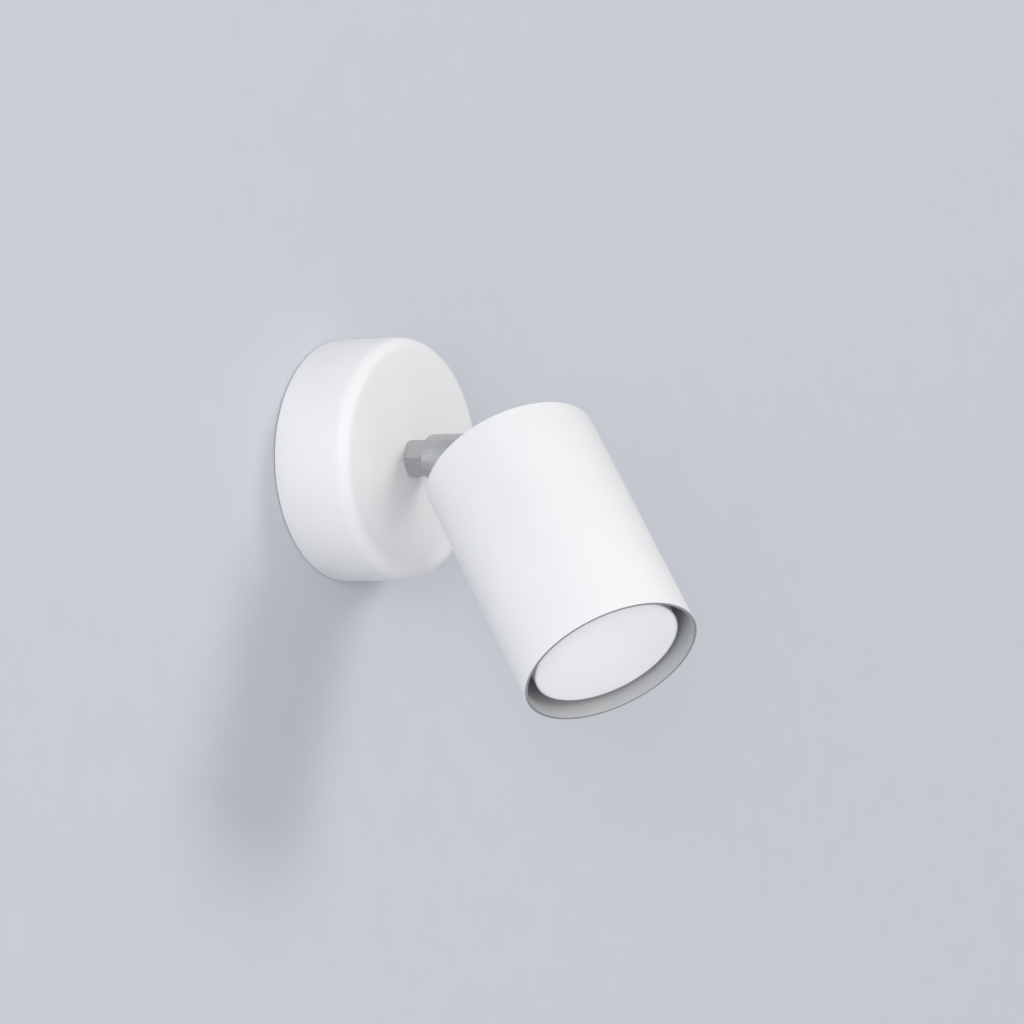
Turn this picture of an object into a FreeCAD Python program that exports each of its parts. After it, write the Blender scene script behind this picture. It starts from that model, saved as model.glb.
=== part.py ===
"""Pivoting spotlight wall light: a drawn steel canopy on the wall, a hollow swivel arm on its face,
and an open-ended tube head that carries a twist-lock reflector lamp.

Row frame, in millimetres: the origin is the centre of the canopy's open back, on the wall.
+Y runs into the wall, +Z is up. The whole light is held at rest in the photographed pose.

Every piece is drawn upright on its own Z axis, which points away from the wall:
    wall pieces  Z is the height above the wall, along the canopy's axis
    arm pieces   the same axis, turned about it by the swivel angle
    head pieces  Z is the distance in front of the tilt pivot, along the head's axis
In all of them local X is the direction of the tilt pivot.
"""
import FreeCAD, Part
import math
import os
import Sketcher

V = FreeCAD.Vector

doc = FreeCAD.newDocument("SpotWallLight")
sheet = doc.addObject("Spreadsheet::Sheet", "Sizes")

DRIVING = [
    # pose of the photographed light
    ("swivel_angle", 15.1), ("bend_angle", 53.9),
    # canopy
    ("canopy_diameter", 82), ("canopy_depth", 28), ("canopy_sheet", 1), ("canopy_edge_radius", 4.5),
    # wall strap and its fasteners
    ("strap_thickness", 1.5), ("strap_width", 18), ("strap_bend_radius", 1), ("ear_height", 12),
    ("ear_gap", 1.5), ("slot_spacing", 52), ("slot_width", 4.4), ("slot_length", 9),
    ("cable_hole_diameter", 11), ("grub_height", 7), ("grub_diameter", 4), ("grub_length", 5),
    ("earth_screw_offset", 13.5), ("earth_screw_diameter", 4), ("ring_terminal_sheet", 0.8),
    # terminal block
    ("pole_pitch", 8), ("block_depth", 14), ("block_base_height", 6.5), ("tower_height", 5.5),
    ("tower_width", 6.6), ("tower_depth", 4.5), ("block_offset", 13.5), ("block_screw_diameter", 2.5),
    ("sleeve_diameter", 4), ("sleeve_bore", 2.6), ("sleeve_length", 11), ("sleeve_height", 3.7),
    ("terminal_screw_diameter", 2.6), ("terminal_screw_length", 4),
    # stud on the canopy
    ("hexagon_width", 12), ("hexagon_length", 7.5), ("hexagon_foot", 0.6), ("shank_diameter", 10), ("wire_bore", 6),
    ("journal_length", 12), ("stop_groove_depth", 0.9), ("stop_sector", 10), ("nut_width", 14),
    ("nut_height", 4), ("lock_washer_thickness", 0.8), ("lock_washer_diameter", 17),
    ("thread_overrun", 1.5),
    # swivel arm and knuckle
    ("swivel_washer_thickness", 0.3), ("barrel_diameter", 16),
    ("pivot_distance", 65.6), ("lap_gap", 0.5), ("shoulder_clearance", 0.4),
    ("wire_pocket_depth", 2.5), ("wire_pocket_diameter", 12), ("hub_diameter", 6.4),
    ("stop_screw_diameter", 3), ("stop_pin_diameter", 1.6), ("stop_screw_position", 6.9),
    ("pivot_screw_diameter", 4), ("seat_depth", 3.8), ("pivot_head_diameter", 7),
    ("pivot_head_height", 2.6), ("pivot_nut_width", 7), ("pivot_nut_height", 2.2),
    ("spring_washer_height", 0.8), ("spring_washer_sheet", 0.4), ("friction_ring_width", 1.6),
    # head
    ("head_diameter", 60), ("room_behind_lamp", 38), ("head_wall", 1),
    ("rear_offset", 2.5), ("rear_recess", 9), ("pan_sheet", 1.2), ("pan_flange", 7),
    ("pan_edge_bevel", 0.8),
    ("bracket_sheet", 1), ("bracket_width", 24), ("bracket_span", 34), ("bracket_foot", 7),
    ("rivet_diameter", 3.2), ("rivet_head_diameter", 6), ("rivet_head_height", 1),
    ("pan_earth_offset", 18), ("pan_earth_diameter", 3),
    # lamp holder
    ("holder_diameter", 27), ("holder_height", 10), ("holder_face", 3), ("cavity_floor", 2.1),
    ("pin_circle", 10), ("slot_clearance", 0.3), ("twist_angle", 25), ("contact_sheet", 0.8),
    ("holder_screw_offset", 9.5), ("holder_screw_diameter", 3), ("holder_wire_offset", 6.5),
    # lamp
    ("lamp_diameter", 50), ("lamp_recess", 3.7), ("lamp_body_length", 47), ("lamp_rim", 0.4),
    ("lamp_collar", 6), ("lamp_neck_diameter", 25), ("lamp_base_height", 9.2), ("cover_thickness", 2),
    ("pin_shank_diameter", 3), ("pin_head_diameter", 5), ("pin_shank_length", 3.6),
    ("pin_head_length", 3.7),
    # wires and fits
    ("wire_diameter", 2), ("wire_circle", 3.46), ("running_clearance", 0.05),
    ("seat_clearance", 0.05), ("hole_clearance", 0.2),
]

for row, (name, number) in enumerate(DRIVING, start=1):
    sheet.set(f"A{row}", name)
    sheet.set(f"B{row}", str(number))
    sheet.setAlias(f"B{row}", name)
doc.recompute()


class Size:
    """A length that carries its number together with the sheet formula that gives it."""

    def __init__(self, number, formula):
        self.number = float(number)
        self.formula = formula

    def __add__(self, other):
        other = sized(other)
        return Size(self.number + other.number, f"({self.formula} + {other.formula})")

    def __sub__(self, other):
        other = sized(other)
        return Size(self.number - other.number, f"({self.formula} - {other.formula})")

    def __mul__(self, factor):
        return Size(self.number * factor, f"({self.formula} * {factor})")

    def __truediv__(self, divisor):
        return Size(self.number / divisor, f"({self.formula} / {divisor})")

    def __neg__(self):
        return Size(-self.number, f"(0 - {self.formula})")


def sized(value):
    """A plain number as a Size, so that both can stand in one sum."""
    return value if isinstance(value, Size) else Size(value, str(value))


def size(alias):
    """The driving dimension of that name."""
    return Size(sheet.get(alias), f"Sizes.{alias}")


# ---------------------------------------------------------------- heights that several pieces share

ZERO = sized(0)
canopy_r = size("canopy_diameter") / 2
canopy_inner_r = canopy_r - size("canopy_sheet")
canopy_face = size("canopy_depth")
shank_r = size("shank_diameter") / 2
bore_r = size("wire_bore") / 2
barrel_r = size("barrel_diameter") / 2
wire_r = size("wire_diameter") / 2
wire_ring_r = size("wire_circle") / 2

hexagon_top = canopy_face + size("hexagon_length")
journal_top = hexagon_top + size("journal_length")
barrel_start = hexagon_top + size("swivel_washer_thickness")
stop_height = barrel_start + size("stop_screw_position")
stud_washer_start = canopy_face - size("canopy_sheet") - size("lock_washer_thickness")
stud_nut_start = stud_washer_start - size("nut_height")
shank_start = stud_nut_start - size("thread_overrun")

pivot = size("pivot_distance")
half_gap = size("lap_gap") / 2
barrel_bevel = (barrel_r - shank_r) / 6
pivot_seat = barrel_r - size("seat_depth")
shoulder = barrel_r + size("shoulder_clearance")

head_r = size("head_diameter") / 2
head_inner_r = head_r - size("head_wall")
head_rear = size("rear_offset")
head_mouth = head_rear + size("room_behind_lamp") + size("lamp_body_length")
pan_rear = head_rear + size("rear_recess")
pan_front = pan_rear + size("pan_sheet")
head_washer_top = pan_front + size("lock_washer_thickness")
head_nut_top = head_washer_top + size("nut_height")
head_shank_top = head_nut_top + size("thread_overrun")

lamp_face = head_mouth - size("lamp_recess")
lamp_base_rear = lamp_face - size("lamp_body_length")
holder_top = lamp_base_rear - size("slot_clearance")
holder_rear = holder_top - size("holder_height")
pin_neck = lamp_base_rear - size("pin_shank_length")
pin_tip = pin_neck - size("pin_head_length")
bracket_rear = holder_rear - size("bracket_sheet")
pin_offset = size("pin_circle") / 2


# shapes that are a share of another length
PAN_HEAD_WIDTH = 1.8
PAN_HEAD_HEIGHT = 1.25
CROWN_SHARE = 0.4
BEVEL_SHARE = 0.6
OUTER_FOLD_SHARE = 0.9
NOTCH_SHARE = 1.5


# ---------------------------------------------------------------- places of the four groups

def turn(axis, degrees):
    return FreeCAD.Placement(V(0, 0, 0), FreeCAD.Rotation(axis, degrees))


AWAY_FROM_WALL = turn(V(1, 0, 0), 90)
SWIVEL = turn(V(0, 1, 0), sheet.get("swivel_angle"))
BEND = turn(V(1, 0, 0), sheet.get("bend_angle"))
AT_PIVOT = FreeCAD.Placement(V(0, -pivot.number, 0), FreeCAD.Rotation())

ON_WALL = AWAY_FROM_WALL
ON_ARM = SWIVEL * AWAY_FROM_WALL
ON_PIVOT = SWIVEL * AT_PIVOT * AWAY_FROM_WALL
ON_HEAD = SWIVEL * AT_PIVOT * BEND * AWAY_FROM_WALL

PARTS = []


# ---------------------------------------------------------------- drawing helpers

def new_body(label):
    body = doc.addObject("PartDesign::Body", label)
    body.Label = label
    body.AllowCompound = True
    return body


def origin_plane(body, role):
    return next(f for f in body.Origin.OriginFeatures if f.Role == role)


def new_sketch(body, name, role, lift=None):
    """An empty sketch on one of the body's own origin planes, lifted off it by a bound distance."""
    sketch = body.newObject("Sketcher::SketchObject", name)
    sketch.AttachmentSupport = (origin_plane(body, role), [""])
    sketch.MapMode = "FlatFace"
    if lift is not None:
        sketch.AttachmentOffset = FreeCAD.Placement(V(0, 0, lift.number), FreeCAD.Rotation())
        sketch.setExpression("AttachmentOffset.Base.z", lift.formula)
    return sketch


def bind(sketch, kind, first, first_point, second, second_point, length):
    index = sketch.addConstraint(
        Sketcher.Constraint(kind, first, first_point, second, second_point, length.number))
    sketch.setExpression(f"Constraints[{index}]", length.formula)


def bind_radius(sketch, curve, radius):
    index = sketch.addConstraint(Sketcher.Constraint("Radius", curve, radius.number))
    sketch.setExpression(f"Constraints[{index}]", radius.formula)


def bind_point(sketch, curve, point, across, up):
    """Hold one point of a curve at a distance across and up from the sketch's origin."""
    if across.number == 0:
        sketch.addConstraint(Sketcher.Constraint("PointOnObject", curve, point, -2))
    else:
        bind(sketch, "DistanceX", -1, 1, curve, point, across)
    if up.number == 0:
        sketch.addConstraint(Sketcher.Constraint("PointOnObject", curve, point, -1))
    else:
        bind(sketch, "DistanceY", -1, 1, curve, point, up)


def draw_outline(sketch, corners):
    """A closed outline of straight sides with every corner held by a sheet formula."""
    corners = [(sized(across), sized(up)) for across, up in corners]
    spots = [V(across.number, up.number, 0) for across, up in corners]
    first = sketch.GeometryCount
    count = len(spots)
    for i in range(count):
        sketch.addGeometry(Part.LineSegment(spots[i], spots[(i + 1) % count]))
    for i in range(count):
        following = first + (i + 1) % count
        sketch.addConstraint(Sketcher.Constraint("Coincident", first + i, 2, following, 1))
    for i, (across, up) in enumerate(corners):
        bind_point(sketch, first + i, 1, across, up)


def draw_box(sketch, low, high):
    """A rectangle between two opposite corners."""
    draw_outline(sketch, [low, (high[0], low[1]), high, (low[0], high[1])])


def draw_circle(sketch, across, up, radius):
    across = sized(across)
    up = sized(up)
    centre = V(across.number, up.number, 0)
    curve = sketch.addGeometry(Part.Circle(centre, V(0, 0, 1), radius.number))
    bind_radius(sketch, curve, radius)
    bind_point(sketch, curve, 3, across, up)


def draw_hexagon(sketch, across, up, width):
    """A regular hexagon with two flats facing up and down the sketch."""
    across = sized(across)
    up = sized(up)
    corner = width / math.sqrt(3)
    flat = width / 2
    draw_outline(sketch, [(across + corner, up), (across + corner / 2, up + flat),
                          (across - corner / 2, up + flat), (across - corner, up),
                          (across - corner / 2, up - flat), (across + corner / 2, up - flat)])


def draw_slot(sketch, across, up, length, width):
    """A round-ended slot that runs up the sketch, centred on the given point."""
    across = sized(across)
    up = sized(up)
    radius = width / 2
    reach = (length - width) / 2
    x, y, r, h = across.number, up.number, radius.number, reach.number
    top = Part.ArcOfCircle(Part.Circle(V(x, y + h, 0), V(0, 0, 1), r), 0, math.pi)
    left = Part.LineSegment(V(x - r, y + h, 0), V(x - r, y - h, 0))
    bottom = Part.ArcOfCircle(Part.Circle(V(x, y - h, 0), V(0, 0, 1), r), math.pi, 2 * math.pi)
    right = Part.LineSegment(V(x + r, y - h, 0), V(x + r, y + h, 0))
    first = sketch.GeometryCount
    for curve in (top, left, bottom, right):
        sketch.addGeometry(curve)
    for i in range(4):
        following = first + (i + 1) % 4
        sketch.addConstraint(Sketcher.Constraint("Tangent", first + i, 2, following, 1))
    bind_radius(sketch, first, radius)
    bind_radius(sketch, first + 2, radius)
    bind_point(sketch, first, 3, across, up + reach)
    bind_point(sketch, first + 2, 3, across, up - reach)


def ring(inner, outer, low, high):
    """The outline of a ring or a plain disc between two heights."""
    return [(inner, low), (outer, low), (outer, high), (inner, high)]


# ---------------------------------------------------------------- feature helpers

def turned(body, name, corners, role="XZ_Plane", axis="V_Axis", lift=None, cut=False, angle=360):
    """Revolve an outline about the sketch's upright axis, or its level one."""
    sketch = new_sketch(body, f"{name}_outline", role, lift)
    draw_outline(sketch, corners)
    feature = body.newObject("PartDesign::Groove" if cut else "PartDesign::Revolution", name)
    feature.Profile = sketch
    feature.ReferenceAxis = (sketch, [axis])
    feature.Angle = angle
    sketch.Visibility = False
    return feature


def padded(body, name, sketch, length, centred=False):
    pad = body.newObject("PartDesign::Pad", name)
    pad.Profile = sketch
    pad.Length = length.number
    pad.setExpression("Length", length.formula)
    pad.Midplane = centred
    return pad


def pocketed(body, name, sketch, length=None, both_ways=False, reverse=False):
    """Cut a sketch into the body: to a depth, or right through when no depth is given."""
    before = body.Shape.Volume
    pocket = body.newObject("PartDesign::Pocket", name)
    pocket.Profile = sketch
    pocket.Reversed = reverse
    pocket.Midplane = both_ways
    if length is None:
        pocket.Type = "ThroughAll"
    else:
        pocket.Length = length.number
        pocket.setExpression("Length", length.formula)
    doc.recompute()
    if not body.Shape.Volume < before - 1e-6:
        raise ValueError(f"{body.Label}: {name} cuts nothing")
    return pocket


def drilled(body, name, role, holes, lift=None, **how):
    """Round holes, each given as (across, up, radius), cut in one feature."""
    doc.recompute()
    sketch = new_sketch(body, f"{name}_circles", role, lift)
    for across, up, radius in holes:
        draw_circle(sketch, across, up, radius)
    return pocketed(body, name, sketch, **how)


def edges_where(feature, test):
    """Names of the feature's edges that pass the test."""
    return [f"Edge{i}" for i, edge in enumerate(feature.Shape.Edges, start=1) if test(edge)]


def ring_edge(radius, height):
    """A test for the level circle of that radius at that height."""
    def test(edge):
        curve = edge.Curve
        return (isinstance(curve, Part.Circle) and abs(curve.Radius - radius.number) < 1e-4
                and abs(curve.Axis.z) > 0.999 and abs(curve.Center.z - height.number) < 1e-4)
    return test


def dressed(body, name, kind, test, amount):
    """Round or bevel the edges of the body's tip that pass the test."""
    doc.recompute()
    base = body.Tip
    names = edges_where(base, test)
    if not names:
        raise ValueError(f"{body.Label}: {name} finds no edge")
    feature = body.newObject(f"PartDesign::{kind}", name)
    feature.Base = (base, names)
    key = "Radius" if kind == "Fillet" else "Size"
    setattr(feature, key, amount.number)
    feature.setExpression(key, amount.formula)
    return feature


def placed(body, placement):
    body.Placement = placement
    PARTS.append(body)


# ---------------------------------------------------------------- wall side

def make_canopy():
    """Drawn steel cup: open at the wall, a rounded rim at its face, one hole for the stud."""
    body = new_body("canopy")
    inner_face = canopy_face - size("canopy_sheet")
    hole_r = shank_r + size("hole_clearance")
    turned(body, "drawn_cup", [(canopy_inner_r, 0), (canopy_r, 0), (canopy_r, canopy_face),
                               (hole_r, canopy_face), (hole_r, inner_face),
                               (canopy_inner_r, inner_face)])
    outer = size("canopy_edge_radius")
    dressed(body, "outer_edge", "Fillet", ring_edge(canopy_r, canopy_face), outer)
    dressed(body, "inner_edge", "Chamfer", ring_edge(canopy_inner_r, inner_face),
            (outer - size("canopy_sheet")) * BEVEL_SHARE)
    grub_hole = size("grub_diameter") / 2 + size("hole_clearance")
    drilled(body, "grub_holes", "XZ_Plane", [(0, size("grub_height"), grub_hole)], both_ways=True)
    return body


def make_wall_bracket():
    """Steel strap bent up into two tapped ears, with a slot each side of the cable hole."""
    body = new_body("wall_bracket")
    sheet_t = size("strap_thickness")
    reach = canopy_inner_r - size("ear_gap")
    sketch = new_sketch(body, "strap_side", "YZ_Plane")
    draw_outline(sketch, [(-reach, 0), (reach, 0), (reach, size("ear_height")),
                          (reach - sheet_t, size("ear_height")), (reach - sheet_t, sheet_t),
                          (-(reach - sheet_t), sheet_t), (-(reach - sheet_t), size("ear_height")),
                          (-reach, size("ear_height"))])
    padded(body, "strap", sketch, size("strap_width"), centred=True)

    def fold(inside):
        spot = reach - sheet_t if inside else reach
        height = sheet_t if inside else ZERO

        def test(edge):
            middle = edge.CenterOfMass
            along_x = abs(edge.Length - size("strap_width").number) < 1e-4
            return (along_x and abs(abs(middle.y) - spot.number) < 1e-4
                    and abs(middle.z - height.number) < 1e-4)
        return test

    bend = size("strap_bend_radius")
    dressed(body, "inner_folds", "Fillet", fold(True), bend)
    dressed(body, "outer_folds", "Fillet", fold(False), bend + sheet_t * OUTER_FOLD_SHARE)
    doc.recompute()
    slots = new_sketch(body, "slot_outlines", "XY_Plane")
    for side in (1, -1):
        draw_slot(slots, 0, size("slot_spacing") / 2 * side, size("slot_length"), size("slot_width"))
    pocketed(body, "wall_slots", slots, both_ways=True)
    drilled(body, "strap_holes", "XY_Plane",
            [(0, 0, size("cable_hole_diameter") / 2),
             (0, size("earth_screw_offset"), size("earth_screw_diameter") / 2),
             (size("pole_pitch") / 2, -size("block_offset"), size("block_screw_diameter") / 2)],
            both_ways=True)
    drilled(body, "ear_holes", "XZ_Plane", [(0, size("grub_height"), size("grub_diameter") / 2)],
            both_ways=True)
    return body


def make_canopy_grub_screws():
    """Two socket grub screws that run in from the canopy's wall through the strap's ears."""
    body = new_body("canopy_grub_screws")
    radius = size("grub_diameter") / 2
    outer = canopy_r - size("canopy_sheet") / 2
    inner = outer - size("grub_length")
    tip = radius / 2
    lift = size("grub_height")
    screw = turned(body, "grub", [(0, inner), (radius - tip, inner), (radius, inner + tip),
                                  (radius, outer), (0, outer)], role="XY_Plane", lift=lift)
    doc.recompute()
    socket = new_sketch(body, "socket_outline", "XZ_Plane", -outer)
    draw_hexagon(socket, 0, lift, radius)
    cut = pocketed(body, "socket", socket, radius, reverse=True)
    upright = new_sketch(body, "upright", "XZ_Plane")
    pattern = body.newObject("PartDesign::PolarPattern", "both_sides")
    pattern.Originals = [screw, cut]
    pattern.Axis = (upright, ["V_Axis"])
    pattern.Angle = 360
    pattern.Occurrences = 2
    body.Tip = pattern
    return body


def lined_up(body, name, features, length, count, second_length=None, second_count=1):
    """Repeat features along the body's X axis, and along its Y axis when a second length is given."""
    pattern = body.newObject("PartDesign::LinearPattern", name)
    pattern.Originals = features
    level = new_sketch(body, f"{name}_axes", "XY_Plane")
    pattern.Direction = (level, ["H_Axis"])
    pattern.Length = length.number
    pattern.setExpression("Length", length.formula)
    pattern.Occurrences = count
    if second_length is not None:
        pattern.Direction2 = (level, ["V_Axis"])
        pattern.Length2 = second_length.number
        pattern.setExpression("Length2", second_length.formula)
        pattern.Occurrences2 = second_count
    body.Tip = pattern
    return pattern


POLES = 3


def block_row():
    """Across and up distances of the terminal block's first pole, and the spacing of its two towers."""
    first = -size("pole_pitch") * ((POLES - 1) / 2)
    spread = size("block_depth") - size("tower_depth")
    near = -size("block_offset") - spread / 2
    return first, near, spread


def make_terminal_block():
    """Three-pole connector strip: a low base with two screw towers over each brass sleeve."""
    body = new_body("terminal_block")
    low = size("strap_thickness")
    base_top = low + size("block_base_height")
    half_width = size("pole_pitch") * (POLES / 2)
    half_depth = size("block_depth") / 2
    middle = -size("block_offset")
    base = new_sketch(body, "base_outline", "XY_Plane", low)
    draw_box(base, (-half_width, middle - half_depth), (half_width, middle + half_depth))
    padded(body, "base", base, size("block_base_height"))
    first, near, spread = block_row()
    tower = new_sketch(body, "tower_outline", "XY_Plane", base_top)
    half_tower = size("tower_width") / 2
    half_tower_depth = size("tower_depth") / 2
    draw_box(tower, (first - half_tower, near - half_tower_depth),
             (first + half_tower, near + half_tower_depth))
    pad = padded(body, "tower", tower, size("tower_height"))
    run = size("pole_pitch") * (POLES - 1)
    lined_up(body, "towers", [pad], run, POLES, spread, 2)
    sleeve_z = low + size("sleeve_height")
    tunnels = [(first + size("pole_pitch") * i, sleeve_z, size("sleeve_diameter") / 2
                + size("seat_clearance")) for i in range(POLES)]
    drilled(body, "sleeve_tunnels", "XZ_Plane", tunnels, both_ways=True)
    wells = [(first + size("pole_pitch") * i, near + spread * j,
              size("terminal_screw_diameter") / 2 + size("seat_clearance"))
             for i in range(POLES) for j in range(2)]
    drilled(body, "screw_wells", "XY_Plane", wells, lift=base_top + size("tower_height"),
            length=size("tower_height") + size("block_base_height") - size("sleeve_height"))
    drilled(body, "fixing_hole", "XY_Plane",
            [(size("pole_pitch") / 2, middle, size("block_screw_diameter") / 2
              + size("hole_clearance") / 2)], both_ways=True)
    return body


def make_terminal_sleeves():
    """Brass sleeves, one to a pole, that the wires push into."""
    body = new_body("terminal_sleeves")
    first, _, _ = block_row()
    outer = size("sleeve_diameter") / 2
    inner = size("sleeve_bore") / 2
    start = -size("block_offset") + size("sleeve_length") / 2
    circles = new_sketch(body, "sleeve_ends", "XZ_Plane", -start)
    height = size("strap_thickness") + size("sleeve_height")
    for i in range(POLES):
        across = first + size("pole_pitch") * i
        draw_circle(circles, across, height, outer)
        draw_circle(circles, across, height, inner)
    padded(body, "sleeves", circles, size("sleeve_length"))
    return body


def make_terminal_screws():
    """Six clamping screws, two over each sleeve."""
    body = new_body("terminal_screws")
    first, near, spread = block_row()
    low = size("strap_thickness") + size("sleeve_height") + size("sleeve_diameter") / 2
    circles = new_sketch(body, "screw_ends", "XY_Plane", low)
    for i in range(POLES):
        for j in range(2):
            draw_circle(circles, first + size("pole_pitch") * i, near + spread * j,
                        size("terminal_screw_diameter") / 2)
    padded(body, "screws", circles, size("terminal_screw_length"))
    return body


def pan_screw(body, across, up, seat, radius, depth):
    """A plain pan-head screw along Z, its head seated at the given height, its shank as deep as said."""
    head_r = radius * PAN_HEAD_WIDTH
    head_h = radius * PAN_HEAD_HEIGHT
    shank = new_sketch(body, "shank_circle", "XY_Plane", seat - depth)
    draw_circle(shank, across, up, radius)
    padded(body, "shank", shank, depth + head_h / 2)
    doc.recompute()
    head = new_sketch(body, "head_circle", "XY_Plane", seat)
    draw_circle(head, across, up, head_r)
    padded(body, "head", head, head_h)
    dressed(body, "crown", "Chamfer", ring_edge(head_r, seat + head_h), head_h * CROWN_SHARE)


def make_terminal_block_screw():
    body = new_body("terminal_block_screw")
    seat = size("strap_thickness") + size("block_base_height")
    pan_screw(body, size("pole_pitch") / 2, -size("block_offset"), seat,
              size("block_screw_diameter") / 2, seat)
    return body


def make_bracket_earth_screw():
    body = new_body("bracket_earth_screw")
    seat = size("strap_thickness") + size("ring_terminal_sheet")
    pan_screw(body, 0, size("earth_screw_offset"), seat, size("earth_screw_diameter") / 2, seat)
    return body


def make_hex_stud():
    """Hollow stud: threaded shank inside the canopy, hexagon on its face, smooth journal outside.

    The journal carries a stop groove that goes nearly round it. The sector left standing, at the
    top, stops the arm's turn.
    """
    body = new_body("hex_stud")
    turned(body, "tube", ring(bore_r, shank_r, shank_start, journal_top))
    hexagon = new_sketch(body, "hexagon_outline", "XY_Plane", canopy_face)
    draw_hexagon(hexagon, 0, 0, size("hexagon_width"))
    draw_circle(hexagon, 0, 0, shank_r - size("stop_groove_depth"))
    padded(body, "hexagon", hexagon, size("hexagon_length"))
    doc.recompute()
    flat = size("hexagon_width") / 2
    corner = flat * 1.2
    slope = corner - flat
    turned(body, "corner_bevel", [(flat, hexagon_top), (corner, hexagon_top),
                                  (corner, hexagon_top - slope * BEVEL_SHARE)], cut=True)
    foot = shank_r + size("hexagon_foot")
    rise = (corner - foot) * BEVEL_SHARE
    turned(body, "foot_bevel", [(foot, canopy_face), (corner, canopy_face),
                                (corner, canopy_face + rise)], cut=True)
    doc.recompute()
    before = body.Shape.Volume
    half = size("stop_pin_diameter") / 2 + size("running_clearance") * 2
    groove = turned(body, "stop_groove",
                    ring(size("stop_groove_depth") - shank_r, -(shank_r + 1), stop_height - half,
                         stop_height + half), role="YZ_Plane", cut=True)
    groove.Midplane = True
    gap = size("stop_sector")
    groove.Angle = 360 - gap.number
    groove.setExpression("Angle", f"360 - {gap.formula}")
    doc.recompute()
    if not body.Shape.Volume < before - 1:
        raise ValueError("hex_stud: the stop groove cuts nothing")
    return body


def hexagon_nut(label, bottom, width, height, hole_r, placement):
    body = new_body(label)
    outline = new_sketch(body, "nut_outline", "XY_Plane", bottom)
    draw_hexagon(outline, 0, 0, width)
    draw_circle(outline, 0, 0, hole_r)
    padded(body, "nut", outline, height)
    placed(body, placement)


def toothed_washer(label, bottom, placement):
    """Flat lock washer with notches cut in from its rim."""
    body = new_body(label)
    thick = size("lock_washer_thickness")
    outer = size("lock_washer_diameter") / 2
    inner = shank_r + size("hole_clearance")
    turned(body, "ring", ring(inner, outer, bottom, bottom + thick))
    doc.recompute()
    notch = new_sketch(body, "notch_outline", "XY_Plane", bottom)
    half = thick * (NOTCH_SHARE / 2)
    draw_box(notch, (outer - half * 2, -half), (outer + half, half))
    cut = pocketed(body, "notch", notch, both_ways=True)
    pattern = body.newObject("PartDesign::PolarPattern", "notches")
    pattern.Originals = [cut]
    pattern.Axis = (notch, ["N_Axis"])
    pattern.Angle = 360
    pattern.Occurrences = 8
    body.Tip = pattern
    placed(body, placement)


# ---------------------------------------------------------------- swivel arm

def knuckle_cuts(body, centre, side, hole_r, seat_r):
    """Turn a solid barrel end into half of a lap knuckle round a pivot along X.

    side is +1 where the tongue stands on the +X side and -1 on the other. The barrel reaches the
    pivot from below where side is -1, and from above where it is +1.
    """
    margin = barrel_r + 2
    face = half_gap * side
    doc.recompute()
    lap = new_sketch(body, "lap_outline", "XZ_Plane")
    draw_box(lap, (face, centre + shoulder * side), (-margin * side, centre - margin * side))
    pocketed(body, "lap", lap, both_ways=True)
    rounding = new_sketch(body, "rounding_outline", "YZ_Plane")
    draw_round_end(rounding, centre, margin, centre - margin * side)
    pocketed(body, "round_end", rounding, both_ways=True)
    reverse = side > 0
    tube = new_sketch(body, "wire_pocket_outline", "YZ_Plane", face)
    draw_circle(tube, 0, centre, size("wire_pocket_diameter") / 2)
    draw_circle(tube, 0, centre, size("hub_diameter") / 2)
    pocketed(body, "wire_pocket", tube, size("wire_pocket_depth"), reverse=reverse)
    drilled(body, "pivot_hole", "YZ_Plane", [(0, centre, hole_r)], both_ways=True)
    drilled(body, "pivot_seat", "YZ_Plane", [(0, centre, seat_r)],
            lift=pivot_seat * side, length=margin, reverse=reverse)


def draw_round_end(sketch, centre, margin, far):
    """What is cut off a barrel's end to round it about the pivot: a box without half a disc."""
    upward = far.number > centre.number
    start, stop = (0, math.pi) if upward else (math.pi, 2 * math.pi)
    circle = Part.Circle(V(0, centre.number, 0), V(0, 0, 1), barrel_r.number)
    sketch.addGeometry(Part.ArcOfCircle(circle, start, stop))
    left_end, right_end = (2, 1) if upward else (1, 2)
    corners = [(-barrel_r, centre), (-margin, centre), (-margin, far), (margin, far),
               (margin, centre), (barrel_r, centre)]
    spots = [V(across.number, up.number, 0) for across, up in corners]
    for spot, following in zip(spots, spots[1:]):
        sketch.addGeometry(Part.LineSegment(spot, following))
    for line in range(1, 5):
        sketch.addConstraint(Sketcher.Constraint("Coincident", line, 2, line + 1, 1))
        bind_point(sketch, line, 2, *corners[line])
    sketch.addConstraint(Sketcher.Constraint("Coincident", 0, left_end, 1, 1))
    sketch.addConstraint(Sketcher.Constraint("Coincident", 0, right_end, 5, 2))
    bind_radius(sketch, 0, barrel_r)
    bind_point(sketch, 0, 3, ZERO, centre)
    sketch.addConstraint(Sketcher.Constraint("Horizontal", 1))
    sketch.addConstraint(Sketcher.Constraint("Horizontal", 5))


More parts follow.
